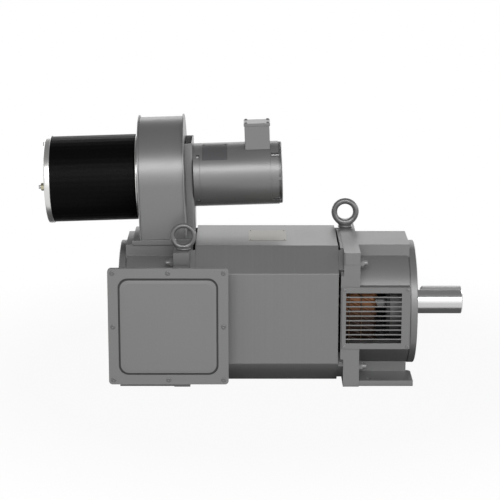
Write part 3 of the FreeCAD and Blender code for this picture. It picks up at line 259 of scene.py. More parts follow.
def stackLinesGroup():
    # stacked laminations: a sine along X for the sheet edges, and faint streaks that differ by sheet
    tree, given, out = newGroup("stack_lines", [("Pitch", "Float", 0.002)],
                                [("Tone", "Float"), ("Height", "Float")])
    place = objectPlace(tree)
    x = splitPlace(tree, place)["X"]
    turn = mathNode(tree, "DIVIDE", x, given.outputs["Pitch"])
    wave = mathNode(tree, "SINE", mathNode(tree, "MULTIPLY", turn, 2 * math.pi), 0.0)
    stretch = addNode(tree, "ShaderNodeMapping", {"Vector": place, "Scale": (300.0, 1.5, 1.5)})
    streak = addNode(tree, "ShaderNodeTexNoise", {"Vector": stretch.outputs[0], "Scale": 1.0, "Detail": 2.0})
    tone = mathNode(tree, "MULTIPLY_ADD", streak.outputs["Fac"], 0.09, 0.955)
    tree.links.new(tone, out.inputs["Tone"])
    tree.links.new(wave, out.inputs["Height"])
    return tree


def turnedMarksGroup():
    # lathe marks: noise that changes only along one axis, as height and as a swing of the gloss
    tree, given, out = newGroup("turned_marks", [("Gloss", "Float", 0.25), ("Swing", "Float", 0.12),
                                                 ("Lines", "Float", 900.0)],
                                [("Roughness", "Float"), ("Height", "Float")])
    place = objectPlace(tree)
    x = splitPlace(tree, place)["X"]
    line = addNode(tree, "ShaderNodeTexNoise", {"W": mathNode(tree, "MULTIPLY", x, given.outputs["Lines"]),
                                                "Scale": 1.0, "Detail": 3.0}, noise_dimensions="1D")
    swing = mathNode(tree, "SUBTRACT", line.outputs["Fac"], 0.5)
    gloss = mathNode(tree, "MULTIPLY_ADD", swing, given.outputs["Swing"], given.outputs["Gloss"])
    tree.links.new(gloss, out.inputs["Roughness"])
    tree.links.new(line.outputs["Fac"], out.inputs["Height"])
    return tree


def openCellGroup():
    # open-cell media: cell walls stand up between dark pores
    tree, given, out = newGroup("open_cells", [("Wall", "Color", (0.002, 0.002, 0.002, 1)),
                                               ("Pore", "Color", (0.0004, 0.0004, 0.0004, 1)),
                                               ("Cell Scale", "Float", 420.0)],
                                [("Color", "Color"), ("Height", "Float")])
    place = objectPlace(tree)
    cell = addNode(tree, "ShaderNodeTexVoronoi", {"Vector": place, "Scale": given.outputs["Cell Scale"]})
    depth = rampNode(tree, cell.outputs["Distance"], 0.15, 0.7, 0.0)
    mix = addNode(tree, "ShaderNodeMix", data_type="RGBA")
    tree.links.new(depth, mix.inputs["Factor"])
    tree.links.new(given.outputs["Pore"], mix.inputs[6])
    tree.links.new(given.outputs["Wall"], mix.inputs[7])
    tree.links.new(mix.outputs[2], out.inputs["Color"])
    tree.links.new(depth, out.inputs["Height"])
    return tree


effects = {
    "paint": paintFilmGroup(), "cast": castSkinGroup(), "stack": stackLinesGroup(),
    "turned": turnedMarksGroup(), "cells": openCellGroup(),
}


def newFinish(name, color, metallic=0.0, roughness=0.4, **sockets):
    # a material with one Principled shader; constants sit on the shader's own sockets
    material = bpy.data.materials.new(name)
    material.use_nodes = True
    tree = material.node_tree
    shader = tree.nodes["Principled BSDF"]
    shader.inputs["Base Color"].default_value = (*color, 1)
    shader.inputs["Metallic"].default_value = metallic
    shader.inputs["Roughness"].default_value = roughness
    for key, item in sockets.items():
        shader.inputs[key.replace("_", " ")].default_value = item
    return material, tree, shader


def placeEffect(tree, key, **values):
    node = addNode(tree, "ShaderNodeGroup", node_tree=effects[key])
    for label, item in values.items():
        node.inputs[label.replace("_", " ")].default_value = item
    return node.outputs


def raiseSurface(tree, shader, height, depth):  # a bump of that depth in metres feeds the normal
    bump = addNode(tree, "ShaderNodeBump", {"Height": height, "Strength": 1.0, "Distance": depth})
    tree.links.new(bump.outputs[0], shader.inputs["Normal"])


def enamelFinish(name, color, metallic, gloss, peelDepth, grainDepth=0.0, stackDepth=0.0, paintedShade=0.0):
    # grey enamel over sheet, casting or laminations; painted shade darkens it where the mesh's own attribute says
    material, tree, shader = newFinish(name, color, metallic)
    film = placeEffect(tree, "paint", Color=(*color, 1), Drift=0.06, Gloss=gloss)
    tone, height = film["Color"], mathNode(tree, "MULTIPLY", film["Height"], peelDepth)
    for key, depth in (("cast", grainDepth), ("stack", stackDepth)):
        if depth:
            under = placeEffect(tree, key)
            tone = scaleColor(tree, tone, under["Tone"])
            height = mathNode(tree, "MULTIPLY_ADD", under["Height"], depth, height)
    # painted shade: a darker colour where the mesh's attribute marks a recess
    if paintedShade:
        mask = addNode(tree, "ShaderNodeAttribute", attribute_name="paintedShade").outputs["Fac"]
        tone = scaleColor(tree, tone, mathNode(tree, "MULTIPLY_ADD", mask, -paintedShade, 1.0))
    tree.links.new(tone, shader.inputs["Base Color"])
    tree.links.new(film["Roughness"], shader.inputs["Roughness"])
    raiseSurface(tree, shader, height, 1.0)
    return material


def steelFinish(name, color, gloss, swing=0.1, lineDepth=4e-6, lines=900.0, metallic=1.0, insideShade=None):
    # bare turned or ground metal; up to one X it may take painted shade, which leaves a share of its colour
    material, tree, shader = newFinish(name, color, metallic)
    marks = placeEffect(tree, "turned", Gloss=gloss, Swing=swing, Lines=lines)
    # painted shade: darker metal up to one X, for the shade inside the housing
    if insideShade:
        shown = rampNode(tree, splitPlace(tree, objectPlace(tree))["X"], insideShade["upTo"],
                         insideShade["upTo"] + insideShade["fade"], insideShade["share"])
        film = placeEffect(tree, "paint", Color=(*color, 1), Drift=0.1)
        tree.links.new(scaleColor(tree, film["Color"], shown), shader.inputs["Base Color"])
    tree.links.new(marks["Roughness"], shader.inputs["Roughness"])
    raiseSurface(tree, shader, marks["Height"], lineDepth)
    return material


def mediaFinish(name):
    # black filter media
    material, tree, shader = newFinish(name, (0.01, 0.01, 0.01), roughness=0.42, Specular_IOR_Level=0.06)
    cells = placeEffect(tree, "cells")
    tree.links.new(cells["Color"], shader.inputs["Base Color"])
    raiseSurface(tree, shader, cells["Height"], 0.0002)
    return material


def softFinish(name, color, gloss):
    # rubber, twine and other matt pieces
    material, tree, shader = newFinish(name, color)
    film = placeEffect(tree, "paint", Color=(*color, 1), Drift=0.2, Gloss=gloss, Peel_Scale=900.0)
    tree.links.new(film["Color"], shader.inputs["Base Color"])
    tree.links.new(film["Roughness"], shader.inputs["Roughness"])
    raiseSurface(tree, shader, film["Height"], 0.0001)
    return material


copper = {"color": (0.155, 0.057, 0.016), "core": 0.168, "bare": 0.178, "linerAndGapShade": 0.06,
          "shadeFrom": 0.15, "shadeTo": 0.19, "lowShade": 0.12}


def copperFinish(name):
    # varnished copper wire: fine wire edges across the coil, a dark slot liner where it leaves the core
    #     # with painted shade for the gap by the frame over it, and painted shade that darkens the lower coils
    color = copper["color"]
    material, tree, shader = newFinish(name, color, metallic=0.45, Coat_Weight=0.04, Coat_Roughness=0.3)
    film = placeEffect(tree, "paint", Color=(*color, 1), Drift=0.35, Gloss=0.42, Peel_Scale=260.0)
    wires = placeEffect(tree, "turned", Lines=1500.0)
    place = splitPlace(tree, objectPlace(tree))
    out = mathNode(tree, "ABSOLUTE", place["X"], 0.0)
    # dark slot liner near the core, deepened as painted shade for the gap by the frame
    shown = rampNode(tree, out, copper["core"], copper["bare"], copper["linerAndGapShade"])
    # painted shade: the lower coils are darker, as the shade under the louvre slats
    clean = rampNode(tree, place["Z"], copper["shadeFrom"], copper["shadeTo"], copper["lowShade"])
    shown = mathNode(tree, "MULTIPLY", shown, clean)
    tree.links.new(scaleColor(tree, film["Color"], shown), shader.inputs["Base Color"])
    tree.links.new(film["Roughness"], shader.inputs["Roughness"])
    raiseSurface(tree, shader, wires["Height"], 0.0003)
    return material


greyPaint = (0.21, 0.21, 0.21)
finishes = {
    "frame_paint": enamelFinish("frame_enamel", greyPaint, 0.42, 0.4, 4e-6, stackDepth=8e-6),
    "cast_paint": enamelFinish("cast_enamel", greyPaint, 0.42, 0.42, 4e-6, grainDepth=4e-5),
    "sheet_paint": enamelFinish("sheet_enamel", greyPaint, 0.42, 0.36, 8e-6),
    "fan_motor_paint": enamelFinish("fan_motor_enamel", greyPaint, 0.42, 0.38, 6e-6),
    "eye_steel": enamelFinish("eye_enamel", (0.17, 0.17, 0.17), 0.42, 0.36, 6e-6, grainDepth=3e-5),
    "fastener_steel": steelFinish("plated_steel", (0.34, 0.34, 0.34), 0.42),
    # the shaft inside the housing, seen through the louvres, takes painted shade
    "shaft_steel": steelFinish("ground_steel", (0.57, 0.57, 0.57), 0.24, swing=0.02, lineDepth=1e-7,
                               lines=5000.0, insideShade={"upTo": 0.29, "fade": 0.01, "share": 0.3}),
    "bearing_steel": steelFinish("bearing_steel", (0.6, 0.6, 0.61), 0.18),
    "cap_iron": enamelFinish("bare_iron", (0.08, 0.08, 0.08), 0.6, 0.55, 4e-6, grainDepth=6e-5),
    "lamination_steel": steelFinish("lamination_edges", (0.25, 0.25, 0.26), 0.45, lineDepth=3e-5, lines=1600.0),
    "cage_aluminium": steelFinish("cast_aluminium", (0.3, 0.3, 0.31), 0.42, lineDepth=1e-5, lines=300.0),
    "copper_winding": copperFinish("varnished_copper"),
    "rubber": softFinish("black_rubber", (0.02, 0.02, 0.02), 0.6),
    "filter_foam": mediaFinish("filter_media"),
    "spun_metal": steelFinish("spun_metal", (0.68, 0.68, 0.67), 0.28, swing=0.08, lineDepth=3e-6),
    "brass": steelFinish("turned_brass", (0.42, 0.4, 0.29), 0.34),
}
twineFinish = softFinish("lacing_twine", (0.075, 0.04, 0.02), 0.7)
darkScrew = enamelFinish("screw_enamel", (0.11, 0.11, 0.11), 0.42, 0.42, 4e-6)
coverScrew = enamelFinish("cover_screw_enamel", (0.16, 0.16, 0.16), 0.42, 0.42, 4e-6)
studPaint = enamelFinish("stud_enamel", (0.24, 0.24, 0.24), 0.42, 0.45, 4e-6)
darkPlate = steelFinish("dark_blank_plate", (0.12, 0.12, 0.125), 0.4, lineDepth=1e-6, metallic=0.3)
palePlate = steelFinish("pale_blank_plate", (0.27, 0.26, 0.235), 0.42, lineDepth=1e-6, metallic=0.4)
keySteel = steelFinish("key_steel", (0.26, 0.26, 0.26), 0.3, swing=0.03, lineDepth=1e-7)
ownFinish = {"bracket_studs": studPaint, "shaft_key": keySteel}


def finishFor(node):  # most nodes take their slot's finish
    return ownFinish.get(node, finishes[slotOf[node]])


for node, item in nodes.items():
    item.material_slots[0].material = finishFor(node)
print("finishes:", len(bpy.data.materials))


# Softened copies: the CAD shape with its loose triangles joined, flats cleaned and edges rounded.
# Flats with many slots keep their triangles, because their cleaned faces would tangle at the edges.

softened = {
    "castings": {"width": 1.2e-3, "clean": True, "nodes": ["drive_end_bracket", "rear_bracket"]},
    "frame": {"width": 0.8e-3, "clean": True, "nodes": ["stator_core", "rear_end_cover", "shaft_key"]},
    "sheet": {"width": 0.6e-3, "clean": True, "nodes": [
        "rear_side_cover", "terminal_box_adapter", "terminal_box_body", "blower_base_plate", "scroll_band",
        "scroll_inlet_plate", "scroll_motor_plate", "motor_mount_pan", "motor_mount_plate", "fan_front_bell",
        "fan_motor_shell", "conduit_lid", "inlet_ring"]},
    "louvres": {"width": 0.6e-3, "clean": False, "nodes": ["front_louvre_cover", "back_louvre_cover"]},
    "pierced": {"width": 0.6e-3, "clean": False, "nodes": ["fan_rear_bell"]},
    "box": {"width": 2e-3, "clean": True, "nodes": ["conduit_box"]},
}
softEdge = {"merge": 2e-6, "flatDeg": 0.3, "sharpDeg": 32.0, "segments": 2}
louvres = {"open": 0.6e-3, "border": 1e-3}  # each slot opens by this much above and below


def openLouvres(mesh):
    # slot corners lie inside the sheet's box; their levels are lower and upper edges by turns
    points = pointsOf(mesh)
    low, high = points[:, 0].min() + louvres["border"], points[:, 0].max() - louvres["border"]
    inside = (points[:, 0] > low) & (points[:, 0] < high)
    level = np.unique(np.round(points[inside, 2], 5), return_inverse=True)[1]
    points[inside, 2] += np.where(level % 2 == 0, -louvres["open"], louvres["open"])
    mesh.vertices.foreach_set("co", points.ravel())


def softenEdges(node, width, clean):
    mesh = nodes[node].data.copy()
    if node in softened["louvres"]["nodes"]:
        openLouvres(mesh)
    shell = bmesh.new()
    shell.from_mesh(mesh)
    bmesh.ops.remove_doubles(shell, verts=shell.verts, dist=softEdge["merge"])
    if clean:
        bmesh.ops.dissolve_limit(shell, angle_limit=math.radians(softEdge["flatDeg"]), verts=shell.verts,
                                 edges=shell.edges)
    shell.to_mesh(mesh)
    shell.free()
    if "custom_normal" in mesh.attributes:
        mesh.attributes.remove(mesh.attributes["custom_normal"])
    mesh.shade_smooth()
    sharp = math.radians(softEdge["sharpDeg"])
    mesh.set_sharp_from_angle(angle=sharp)
    mesh.materials.clear()
    mesh.materials.append(finishFor(node))
    piece = addObject(f"{node}_finished", mesh)
    bevel = piece.modifiers.new("edge", "BEVEL")
    bevel.width, bevel.segments = width, softEdge["segments"]
    bevel.limit_method, bevel.angle_limit = "ANGLE", sharp
    bevel.harden_normals = True
    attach(piece, bodyOf[node])
    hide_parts(node)


for group in softened.values():
    for node in group["nodes"]:
        softenEdges(node, group["width"], group["clean"])
print("softened copies:", sum(len(group["nodes"]) for group in softened.values()))


# Hexagon heads and nuts: r = the smaller of the hexagon's edge and a chamfer cone, over height and angle

hexShape = {"rise": (0.0, 0.12, 0.78, 0.9, 1.0), "cone": (1.02, 1.155, 1.155, 1.1, 1.0),
            "boreFlare": 1.12, "flareDepth": 0.1}  # shares of the height, the apothem and the bore


def hexPart(axis, apothem, height, bore=0.0, segments=48):
    t = fullTurn(segments)
    hexEdge = apothem / np.cos((t + math.pi / 6) % (math.pi / 3) - math.pi / 6)
    cone = np.array(hexShape["cone"]) * apothem
    radius = np.minimum(hexEdge[None, :], cone[:, None])
    level = np.array(hexShape["rise"]) * height
    if bore:
        inner = np.broadcast_to(np.array([[bore * hexShape["boreFlare"]], [bore], [bore]]), (3, segments))
        radius = np.concatenate([radius, inner])
        level = np.concatenate([level, [level[-1], level[-1] - hexShape["flareDepth"] * height, 0.0]])
    around = aroundAxis(axis, t)
    points = axis["at"] + level[:, None, None] * axis["along"] + radius[:, :, None] * around
    return gridPart(points, wrapU=bool(bore), wrapV=True, capStart=not bore, capEnd=not bore)


def panPart(axis, radius, height, segments=32):
    # a low domed head with a countersunk dimple for its drive
    ratio = np.array([1.0, 1.0, 0.93, 0.75, 0.45, 0.36, 0.2])
    level = np.array([0.0, 0.45, 0.75, 0.93, 1.0, 0.7, 0.55]) * height
    return turnedPart(np.stack([level, ratio * radius], 1), axis, segments)


toFront, toBack, toTop, toRear = (0, -1, 0), (0, 1, 0), (0, 0, 1), (-1, 0, 0)

# Terminal cover: rounded squares of growing and falling half-width are joined into one pressed sheet

terminalCover = {"corner": 8e-3, "sheet": 4e-3, "edge": 0.5e-3, "margin": 22.5e-3, "panelCorner": 21e-3,
                 "groove": 3.6e-3, "grooveDepth": 3e-3, "bevel": 7e-3, "bevelRise": 0.7e-3, "paintedShade": 0.75}
terminalScrews = {"inset": 10.5e-3, "radius": 5.4e-3, "height": 1.5e-3}


def roundedRing(half, corner, steps=12):
    # four quarter rounds of radius corner, whose centres are half - corner from the middle
    t = np.radians(np.concatenate([np.linspace(0, 90, steps) + 90 * quarter for quarter in range(4)]))
    middle = np.repeat(np.radians([45, 135, 225, 315]), steps)
    shift = half - corner
    x = shift * np.sign(np.cos(middle)) + corner * np.cos(t)
    z = shift * np.sign(np.sin(middle)) + corner * np.sin(t)
    return x, z


def makeTerminalCover():
    low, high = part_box("terminal_box_cover")
    spec = terminalCover
    half, corner, edge = (high.x - low.x) / 2, spec["corner"], spec["edge"]
    back, border, front = high.y, high.y - spec["sheet"], low.y
    panel, panelRound = half - spec["margin"], spec["panelCorner"]
    raised, floor = panel - spec["groove"], border + spec["grooveDepth"]
    inner = panelRound - spec["groove"] / 2
    brow = front + spec["bevelRise"]  # where the panel's shallow bevel begins
    rings = [(half, corner, back), (half, corner, border + edge), (half - edge, corner, border),
             (panel + edge, panelRound + edge, border), (panel, panelRound, border + edge),
             (panel, panelRound, floor), (raised, inner, floor), (raised, inner, brow + edge),
             (raised - edge, inner, brow), (raised - spec["bevel"], inner, front)]
    inGroove = [0, 0, 0, 0, 0.6, 1, 1, 0.6, 0, 0]  # share of painted shade on each ring
    rows = []
    for ringHalf, ringCorner, y in rings:
        x, z = roundedRing(ringHalf, ringCorner)
        rows.append(np.stack([x + (low.x + high.x) / 2, np.full_like(x, y), z + (low.z + high.z) / 2], 1))
    part = gridPart(np.stack(rows), wrapV=True, capStart=True, capEnd=True)
    finish = enamelFinish("cover_enamel", (0.225, 0.225, 0.225), 0.42, 0.38, 6e-6, paintedShade=spec["paintedShade"])
    piece = makePiece("terminal_cover_pressed", [part], finish, sharpDeg=3)
    # painted shade in the groove round the panel, set per ring
    mask = piece.data.attributes.new("paintedShade", "FLOAT", "POINT")
    mask.data.foreach_set("value", np.repeat(np.array(inGroove, float), len(rows[0])))
    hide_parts("terminal_box_cover")


def makeTerminalScrews():
    low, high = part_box("terminal_box_cover")
    face = high.y - terminalCover["sheet"]  # front of the cover's flat border
    inset = terminalScrews["inset"]
    xs = (low.x + inset, (low.x + high.x) / 2, high.x - inset)
    zs = (low.z + inset, (low.z + high.z) / 2, high.z - inset)
    parts = []
    for column, x in enumerate(xs):
        for row, z in enumerate(zs):
            if column == 1 and row == 1:
                continue  # the middle of the cover is its panel
            parts.append(panPart(shiftedAxis((x, face, z), toFront, (1, 0, 0)), terminalScrews["radius"],
                                 terminalScrews["height"]))
    makePiece("terminal_cover_screws", parts, coverScrew)


coverScrews = {"inset": 5.5e-3, "radius": 3.6e-3, "height": 2.2e-3}


def makeCoverScrews():
    sides = {"front_louvre_cover": toFront, "back_louvre_cover": toBack, "rear_side_cover": toBack}
    for node, toSide in sides.items():
        low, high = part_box(node)
        face = low.y if toSide == toFront else high.y
        inset = coverScrews["inset"]
        parts = [panPart(shiftedAxis((x, face, z), toSide, (1, 0, 0)), coverScrews["radius"],
                         coverScrews["height"])
                 for x in (low.x + inset, high.x - inset) for z in (low.z + inset, high.z - inset)]
        makePiece(f"{node}_screws", parts, finishes["sheet_paint"])


lidScrews = {"inset": 5e-3, "radius": 3.2e-3, "height": 2.4e-3}
throughBolts = {"count": 4, "radius": 2.3e-3, "place": 69.3e-3, "fromEnd": 24.5e-3, "length": 18e-3,
                "apothem": 3.4e-3, "nutStart": 7e-3, "nut": 5.5e-3}


def onBlower(along, front, top):  # a point from its places along and across the blower's axis
    axis = blowerAxis
    return axis["at"] + along * axis["along"] + front * axis["front"] + top * axis["top"]


def makeBlowerFasteners():
    offset = corners("conduit_lid") - blowerAxis["at"]
    places = np.stack([offset @ blowerAxis[key] for key in ("along", "front", "top")], 1)
    low, high = places.min(0), places.max(0)
    inset = lidScrews["inset"]
    parts = [panPart(shiftedAxis(onBlower(x, y, high[2]), blowerAxis["top"], blowerAxis["along"]),
                     lidScrews["radius"], lidScrews["height"])
             for x in (low[0] + inset, high[0] - inset) for y in (low[1] + inset, high[1] - inset)]
    makePiece("conduit_lid_screws", parts, darkScrew)

    # bolts that tie the bells together show in pockets of the rims: shanks behind, nuts in front
    nutPlace = spanOn("fan_front_bell", blowerAxis)[0] + throughBolts["nutStart"]
    shankPlace = spanOn("fan_rear_bell", blowerAxis)[1] - throughBolts["fromEnd"]
    radius, length = throughBolts["radius"], throughBolts["length"]
    upper, lower = [], []
    for step in range(throughBolts["count"]):
        turn = math.pi / 4 + step * 2 * math.pi / throughBolts["count"]
        front, top = throughBolts["place"] * math.cos(turn), throughBolts["place"] * math.sin(turn)
        nutAxis = shiftedAxis(onBlower(nutPlace, front, top), blowerAxis["along"], blowerAxis["front"])
        shankAxis = shiftedAxis(onBlower(shankPlace, front, top), blowerAxis["along"], blowerAxis["front"])
        shank = turnedPart([(0, radius * 0.9), (0.1 * radius, radius), (length, radius)], shankAxis, 24)
        bolt = [hexPart(nutAxis, throughBolts["apothem"], throughBolts["nut"]), shank]
        if top > 0:
            upper += bolt
        else:
            lower += bolt
    makePiece("fan_motor_upper_bolts", upper, finishes["fastener_steel"])
    makePiece("fan_motor_lower_bolts", lower, darkScrew)  # painted shade: dark enamel for the bolts in the shade below the axis


rearCoverBolts = {"inset": 10e-3, "apothem": 5e-3, "height": 4e-3, "count": 4}


def makeRearCoverBolts():
    start, _, radius = spanOn("rear_end_cover", shaftAxis)
    parts = []
    for step in range(rearCoverBolts["count"]):
        turn = math.pi / 4 + step * 2 * math.pi / rearCoverBolts["count"]
        across = math.cos(turn) * shaftAxis["front"] + math.sin(turn) * shaftAxis["top"]
        place = shaftAxis["at"] + start * shaftAxis["along"] + (radius - rearCoverBolts["inset"]) * across
        parts.append(hexPart(shiftedAxis(place, toRear, toFront), rearCoverBolts["apothem"],
                             rearCoverBolts["height"]))
    makePiece("rear_cover_bolts", parts, finishes["fastener_steel"])


# Bracket studs and nuts: threads are a helix, r = root + depth x triangle wave of (x / pitch - turn)

studs = {"radius": 6e-3, "pitch": 1.75e-3, "depth": 0.9e-3, "tip": 2.5e-3, "apothem": 9e-3, "nut": 9e-3}
threadTip = 0.55  # radius at the very tip, as a share of the thread's


def threadPart(axis, radius, length, pitch, depth, tip, segments=40, perPitch=8):
    t = fullTurn(segments)
    x = np.linspace(0, length, int(length / pitch * perPitch) + 1)
    phase = (x[:, None] / pitch - t[None, :] / (2 * math.pi)) % 1.0
    radii = radius - depth * np.abs(2 * phase - 1)
    taper = np.clip((length - x) / tip, 0, 1)[:, None]
    radii = np.minimum(radii, radius * (threadTip + (1 - threadTip) * taper))
    around = aroundAxis(axis, t)
    points = axis["at"] + x[:, None, None] * axis["along"] + radii[:, :, None] * around
    return gridPart(points, wrapV=True, capStart=True, capEnd=True)


def makeBracketFasteners():
    studPoints, nutPoints = corners("bracket_studs"), corners("bracket_nuts")
    tip, seat = studPoints[:, 0].max(), np.abs(nutPoints[:, 0]).min()
    centre = shaftAxis["at"]
    place = np.abs(studPoints[:, 1] - centre[1]).max() - studs["radius"]
    threads, nuts = [], []
    for side in (1, -1):
        for y in (-place, place):
            for z in (-place, place):
                start = centre + np.array([side * seat, y, z])
                axis = shiftedAxis(start, (side, 0, 0), (0, -1, 0))
                threads.append(threadPart(axis, studs["radius"], tip - seat, studs["pitch"], studs["depth"],
                                          studs["tip"]))
                nuts.append(hexPart(axis, studs["apothem"], studs["nut"], bore=studs["radius"]))
    makePiece("bracket_stud_threads", threads, studPaint, sharpDeg=80)
    nutPiece = makePiece("bracket_hex_nuts", nuts, studPaint)
    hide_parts("bracket_nuts")


filterNuts = {"count": 3, "apothem": 7.6e-3, "rod": 4e-3, "pitch": 1.25e-3, "depth": 0.7e-3, "tip": 2e-3}


def makeFilterFasteners():
    offset = corners("filter_nuts") - blowerAxis["at"]
    along = offset @ blowerAxis["along"]
    rodEnd, _, reach = spanOn("filter_rods", blowerAxis)
    place = reach - filterNuts["rod"]
    nuts, rods = [], []
    for step in range(filterNuts["count"]):
        turn = step * 2 * math.pi / filterNuts["count"]
        front, top = place * math.cos(turn), place * math.sin(turn)
        axis = shiftedAxis(onBlower(along.max(), front, top), -blowerAxis["along"], blowerAxis["front"])
        nuts.append(hexPart(axis, filterNuts["apothem"], along.max() - along.min(), bore=filterNuts["rod"]))
        rods.append(threadPart(axis, filterNuts["rod"], along.max() - rodEnd, filterNuts["pitch"],
                               filterNuts["depth"], filterNuts["tip"]))
    nutPiece = makePiece("filter_hex_nuts", nuts, finishes["brass"])
    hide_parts("filter_nuts")
    makePiece("filter_rod_threads", rods, finishes["brass"], sharpDeg=80)


# Lifting eyes: a ring whose wire thickens towards its neck, on a flared neck and shoulder

eyes = {
    "drive_eye_bolt": {"wire": 6.8e-3, "swell": 0.5},
    "rear_eye_bolt": {"wire": 5.2e-3, "swell": 0.35},
}
eyeNeck = {"collar": 16.5e-3, "thick": 5e-3, "edge": 1.5e-3, "rise": 3e-3, "waist": 1.15, "flare": 1.6,
           "stem": 0.5, "root": 4e-3, "swellAngle": 0.55}  # waist in wires, stem in collars


def eyeRingPart(centre, ring, wire, swell, around=96, sides=28):
    # a torus in the XZ plane; its wire radius grows by a bell curve centred on the lowest point
    u, v = fullTurn(around), fullTurn(sides)
    fromBottom = np.abs((u + math.pi / 2 + math.pi) % (2 * math.pi) - math.pi)
    thick = wire * (1 + swell * np.exp(-(fromBottom / eyeNeck["swellAngle"]) ** 2))
    inside = np.cos(v)[None, :] * thick[:, None]
    outer = ring + np.where(inside < 0, np.maximum(inside, -wire), inside)
    points = np.stack([outer * np.cos(u)[:, None], thick[:, None] * np.sin(v)[None, :],
                       outer * np.sin(u)[:, None]], -1)
    return gridPart(points + np.array(centre), wrapU=True, wrapV=True)


def makeEyes():
    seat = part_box("drive_end_bracket")[1].z  # tops of the brackets' lugs
    edge, collar, thick = eyeNeck["edge"], eyeNeck["collar"], eyeNeck["thick"]
    stemRadius = collar * eyeNeck["stem"]
    flare = np.linspace(0, 1, 10)
    for node, eye in eyes.items():
        low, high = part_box(node)
        wire = eye["wire"]
        centreX, centreY = (low.x + high.x) / 2, (low.y + high.y) / 2
        ring = (high.x - low.x) / 2 - wire
        centreZ = high.z - ring - wire
        stem = shiftedAxis((centreX, centreY, seat), toTop, toFront)
        waist = wire * eyeNeck["waist"]
        spread = (collar - edge - waist) * (1 - flare) ** eyeNeck["flare"]
        neck = list(zip(thick + flare * eyeNeck["rise"], waist + spread))
        profile = [(-eyeNeck["root"], stemRadius), (0, stemRadius), (0, collar - edge), (edge, collar),
                   (thick - edge, collar)] + neck
        parts = [eyeRingPart((centreX, centreY, centreZ), ring, wire, eye["swell"]),
                 turnedPart(profile, stem, 48)]
        piece = makePiece(f"{node}_forged", parts, finishes["eye_steel"], sharpDeg=50)
        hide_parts(node)


# Filter: media sleeve with rounded ends, and a spun cap with a pressed ring

sleeve = {"lip": 4e-3, "round": 3e-3, "wall": 6e-3, "ripple": 0.1e-3, "ripples": 48}
cap = {"sheet": 2e-3, "round": 3e-3, "dish": 2.5e-3, "dishOuter": 70e-3, "outerRamp": 12e-3,
       "dishInner": 34e-3, "innerRamp": 10e-3, "pole": 1e-3}


def makeFilter():
    start, seat, radius = spanOn("filter_element", blowerAxis)
    end = seat - sleeve["lip"]  # the sleeve stands on a bright lip of the inlet ring
    roundness, inner = sleeve["round"], radius - sleeve["wall"]
    outside = arcSteps(start + roundness, radius - roundness, roundness, 180, 90)
    outside += [(x, radius) for x in np.linspace(start + 2 * roundness, end - 2 * roundness, 24)]
    outside += arcSteps(end - roundness, radius - roundness, roundness, 90, 0)
    profile = np.array(outside + [(end, inner), (start, inner)])
    t = fullTurn(384)
    around = aroundAxis(blowerAxis, t)
    ripple = sleeve["ripple"] * (np.cos(sleeve["ripples"] * t) - 1) * (profile[:, 1] > inner + 1e-6)[:, None]
    radii = profile[:, 1:] + ripple  # shallow lengthwise ripples, never outside the CAD radius
    points = blowerAxis["at"] + profile[:, :1, None] * blowerAxis["along"] + radii[:, :, None] * around
    piece = makePiece("filter_media_sleeve", [gridPart(points, wrapU=True, wrapV=True)],
                      finishes["filter_foam"])
    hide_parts("filter_element")
    edge = sleeve["lip"] / 2
    lip = arcSteps(end + edge, radius - edge, edge, 180, 0) + [(seat, inner), (end, inner)]
    makePiece("inlet_ring_lip", [turnedPart(lip, blowerAxis, 160, closed=True)], finishes["spun_metal"],
              sharpDeg=40)

    start, end, radius = spanOn("filter_end_cap", blowerAxis)
    sheet, roundness, dish = cap["sheet"], cap["round"], cap["dish"]
    slope = np.linspace(0, 1, 7)
    blend = slope * slope * (3 - 2 * slope)
    inward = list(zip(start + dish * (1 - blend), cap["dishOuter"] - cap["outerRamp"] * (1 - slope)))
    raised = list(zip(start + dish * blend, cap["dishInner"] - cap["innerRamp"] * (1 - slope)))
    face = [(start, cap["pole"])] + raised + inward
    rim = arcSteps(start + roundness, radius - roundness, roundness, 180, 90)
    rolled = arcSteps(end - sheet / 2, radius - sheet / 2, sheet / 2, 90, -90)
    back = [(start + dish + sheet, radius - sheet), (start + dish + sheet, cap["pole"])]
    piece = makePiece("filter_cap_spun", [turnedPart(face + rim + rolled + back, blowerAxis, 160)],
                      finishes["spun_metal"], sharpDeg=40)
    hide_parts("filter_end_cap")


# Windings seen through the louvres: coil bundles over the end turns, laced with twine

coils = {"count": 36, "wire": 4.4e-3, "twist": 24.0, "proud": 2.4e-3, "steps": 30, "clear": 4e-3,
         "endTurns": 0.012, "runShare": 0.66}
lacing = {"thick": 1.5e-3, "places": (0.3, 0.62), "wave": 0.45, "lift": 0.55}


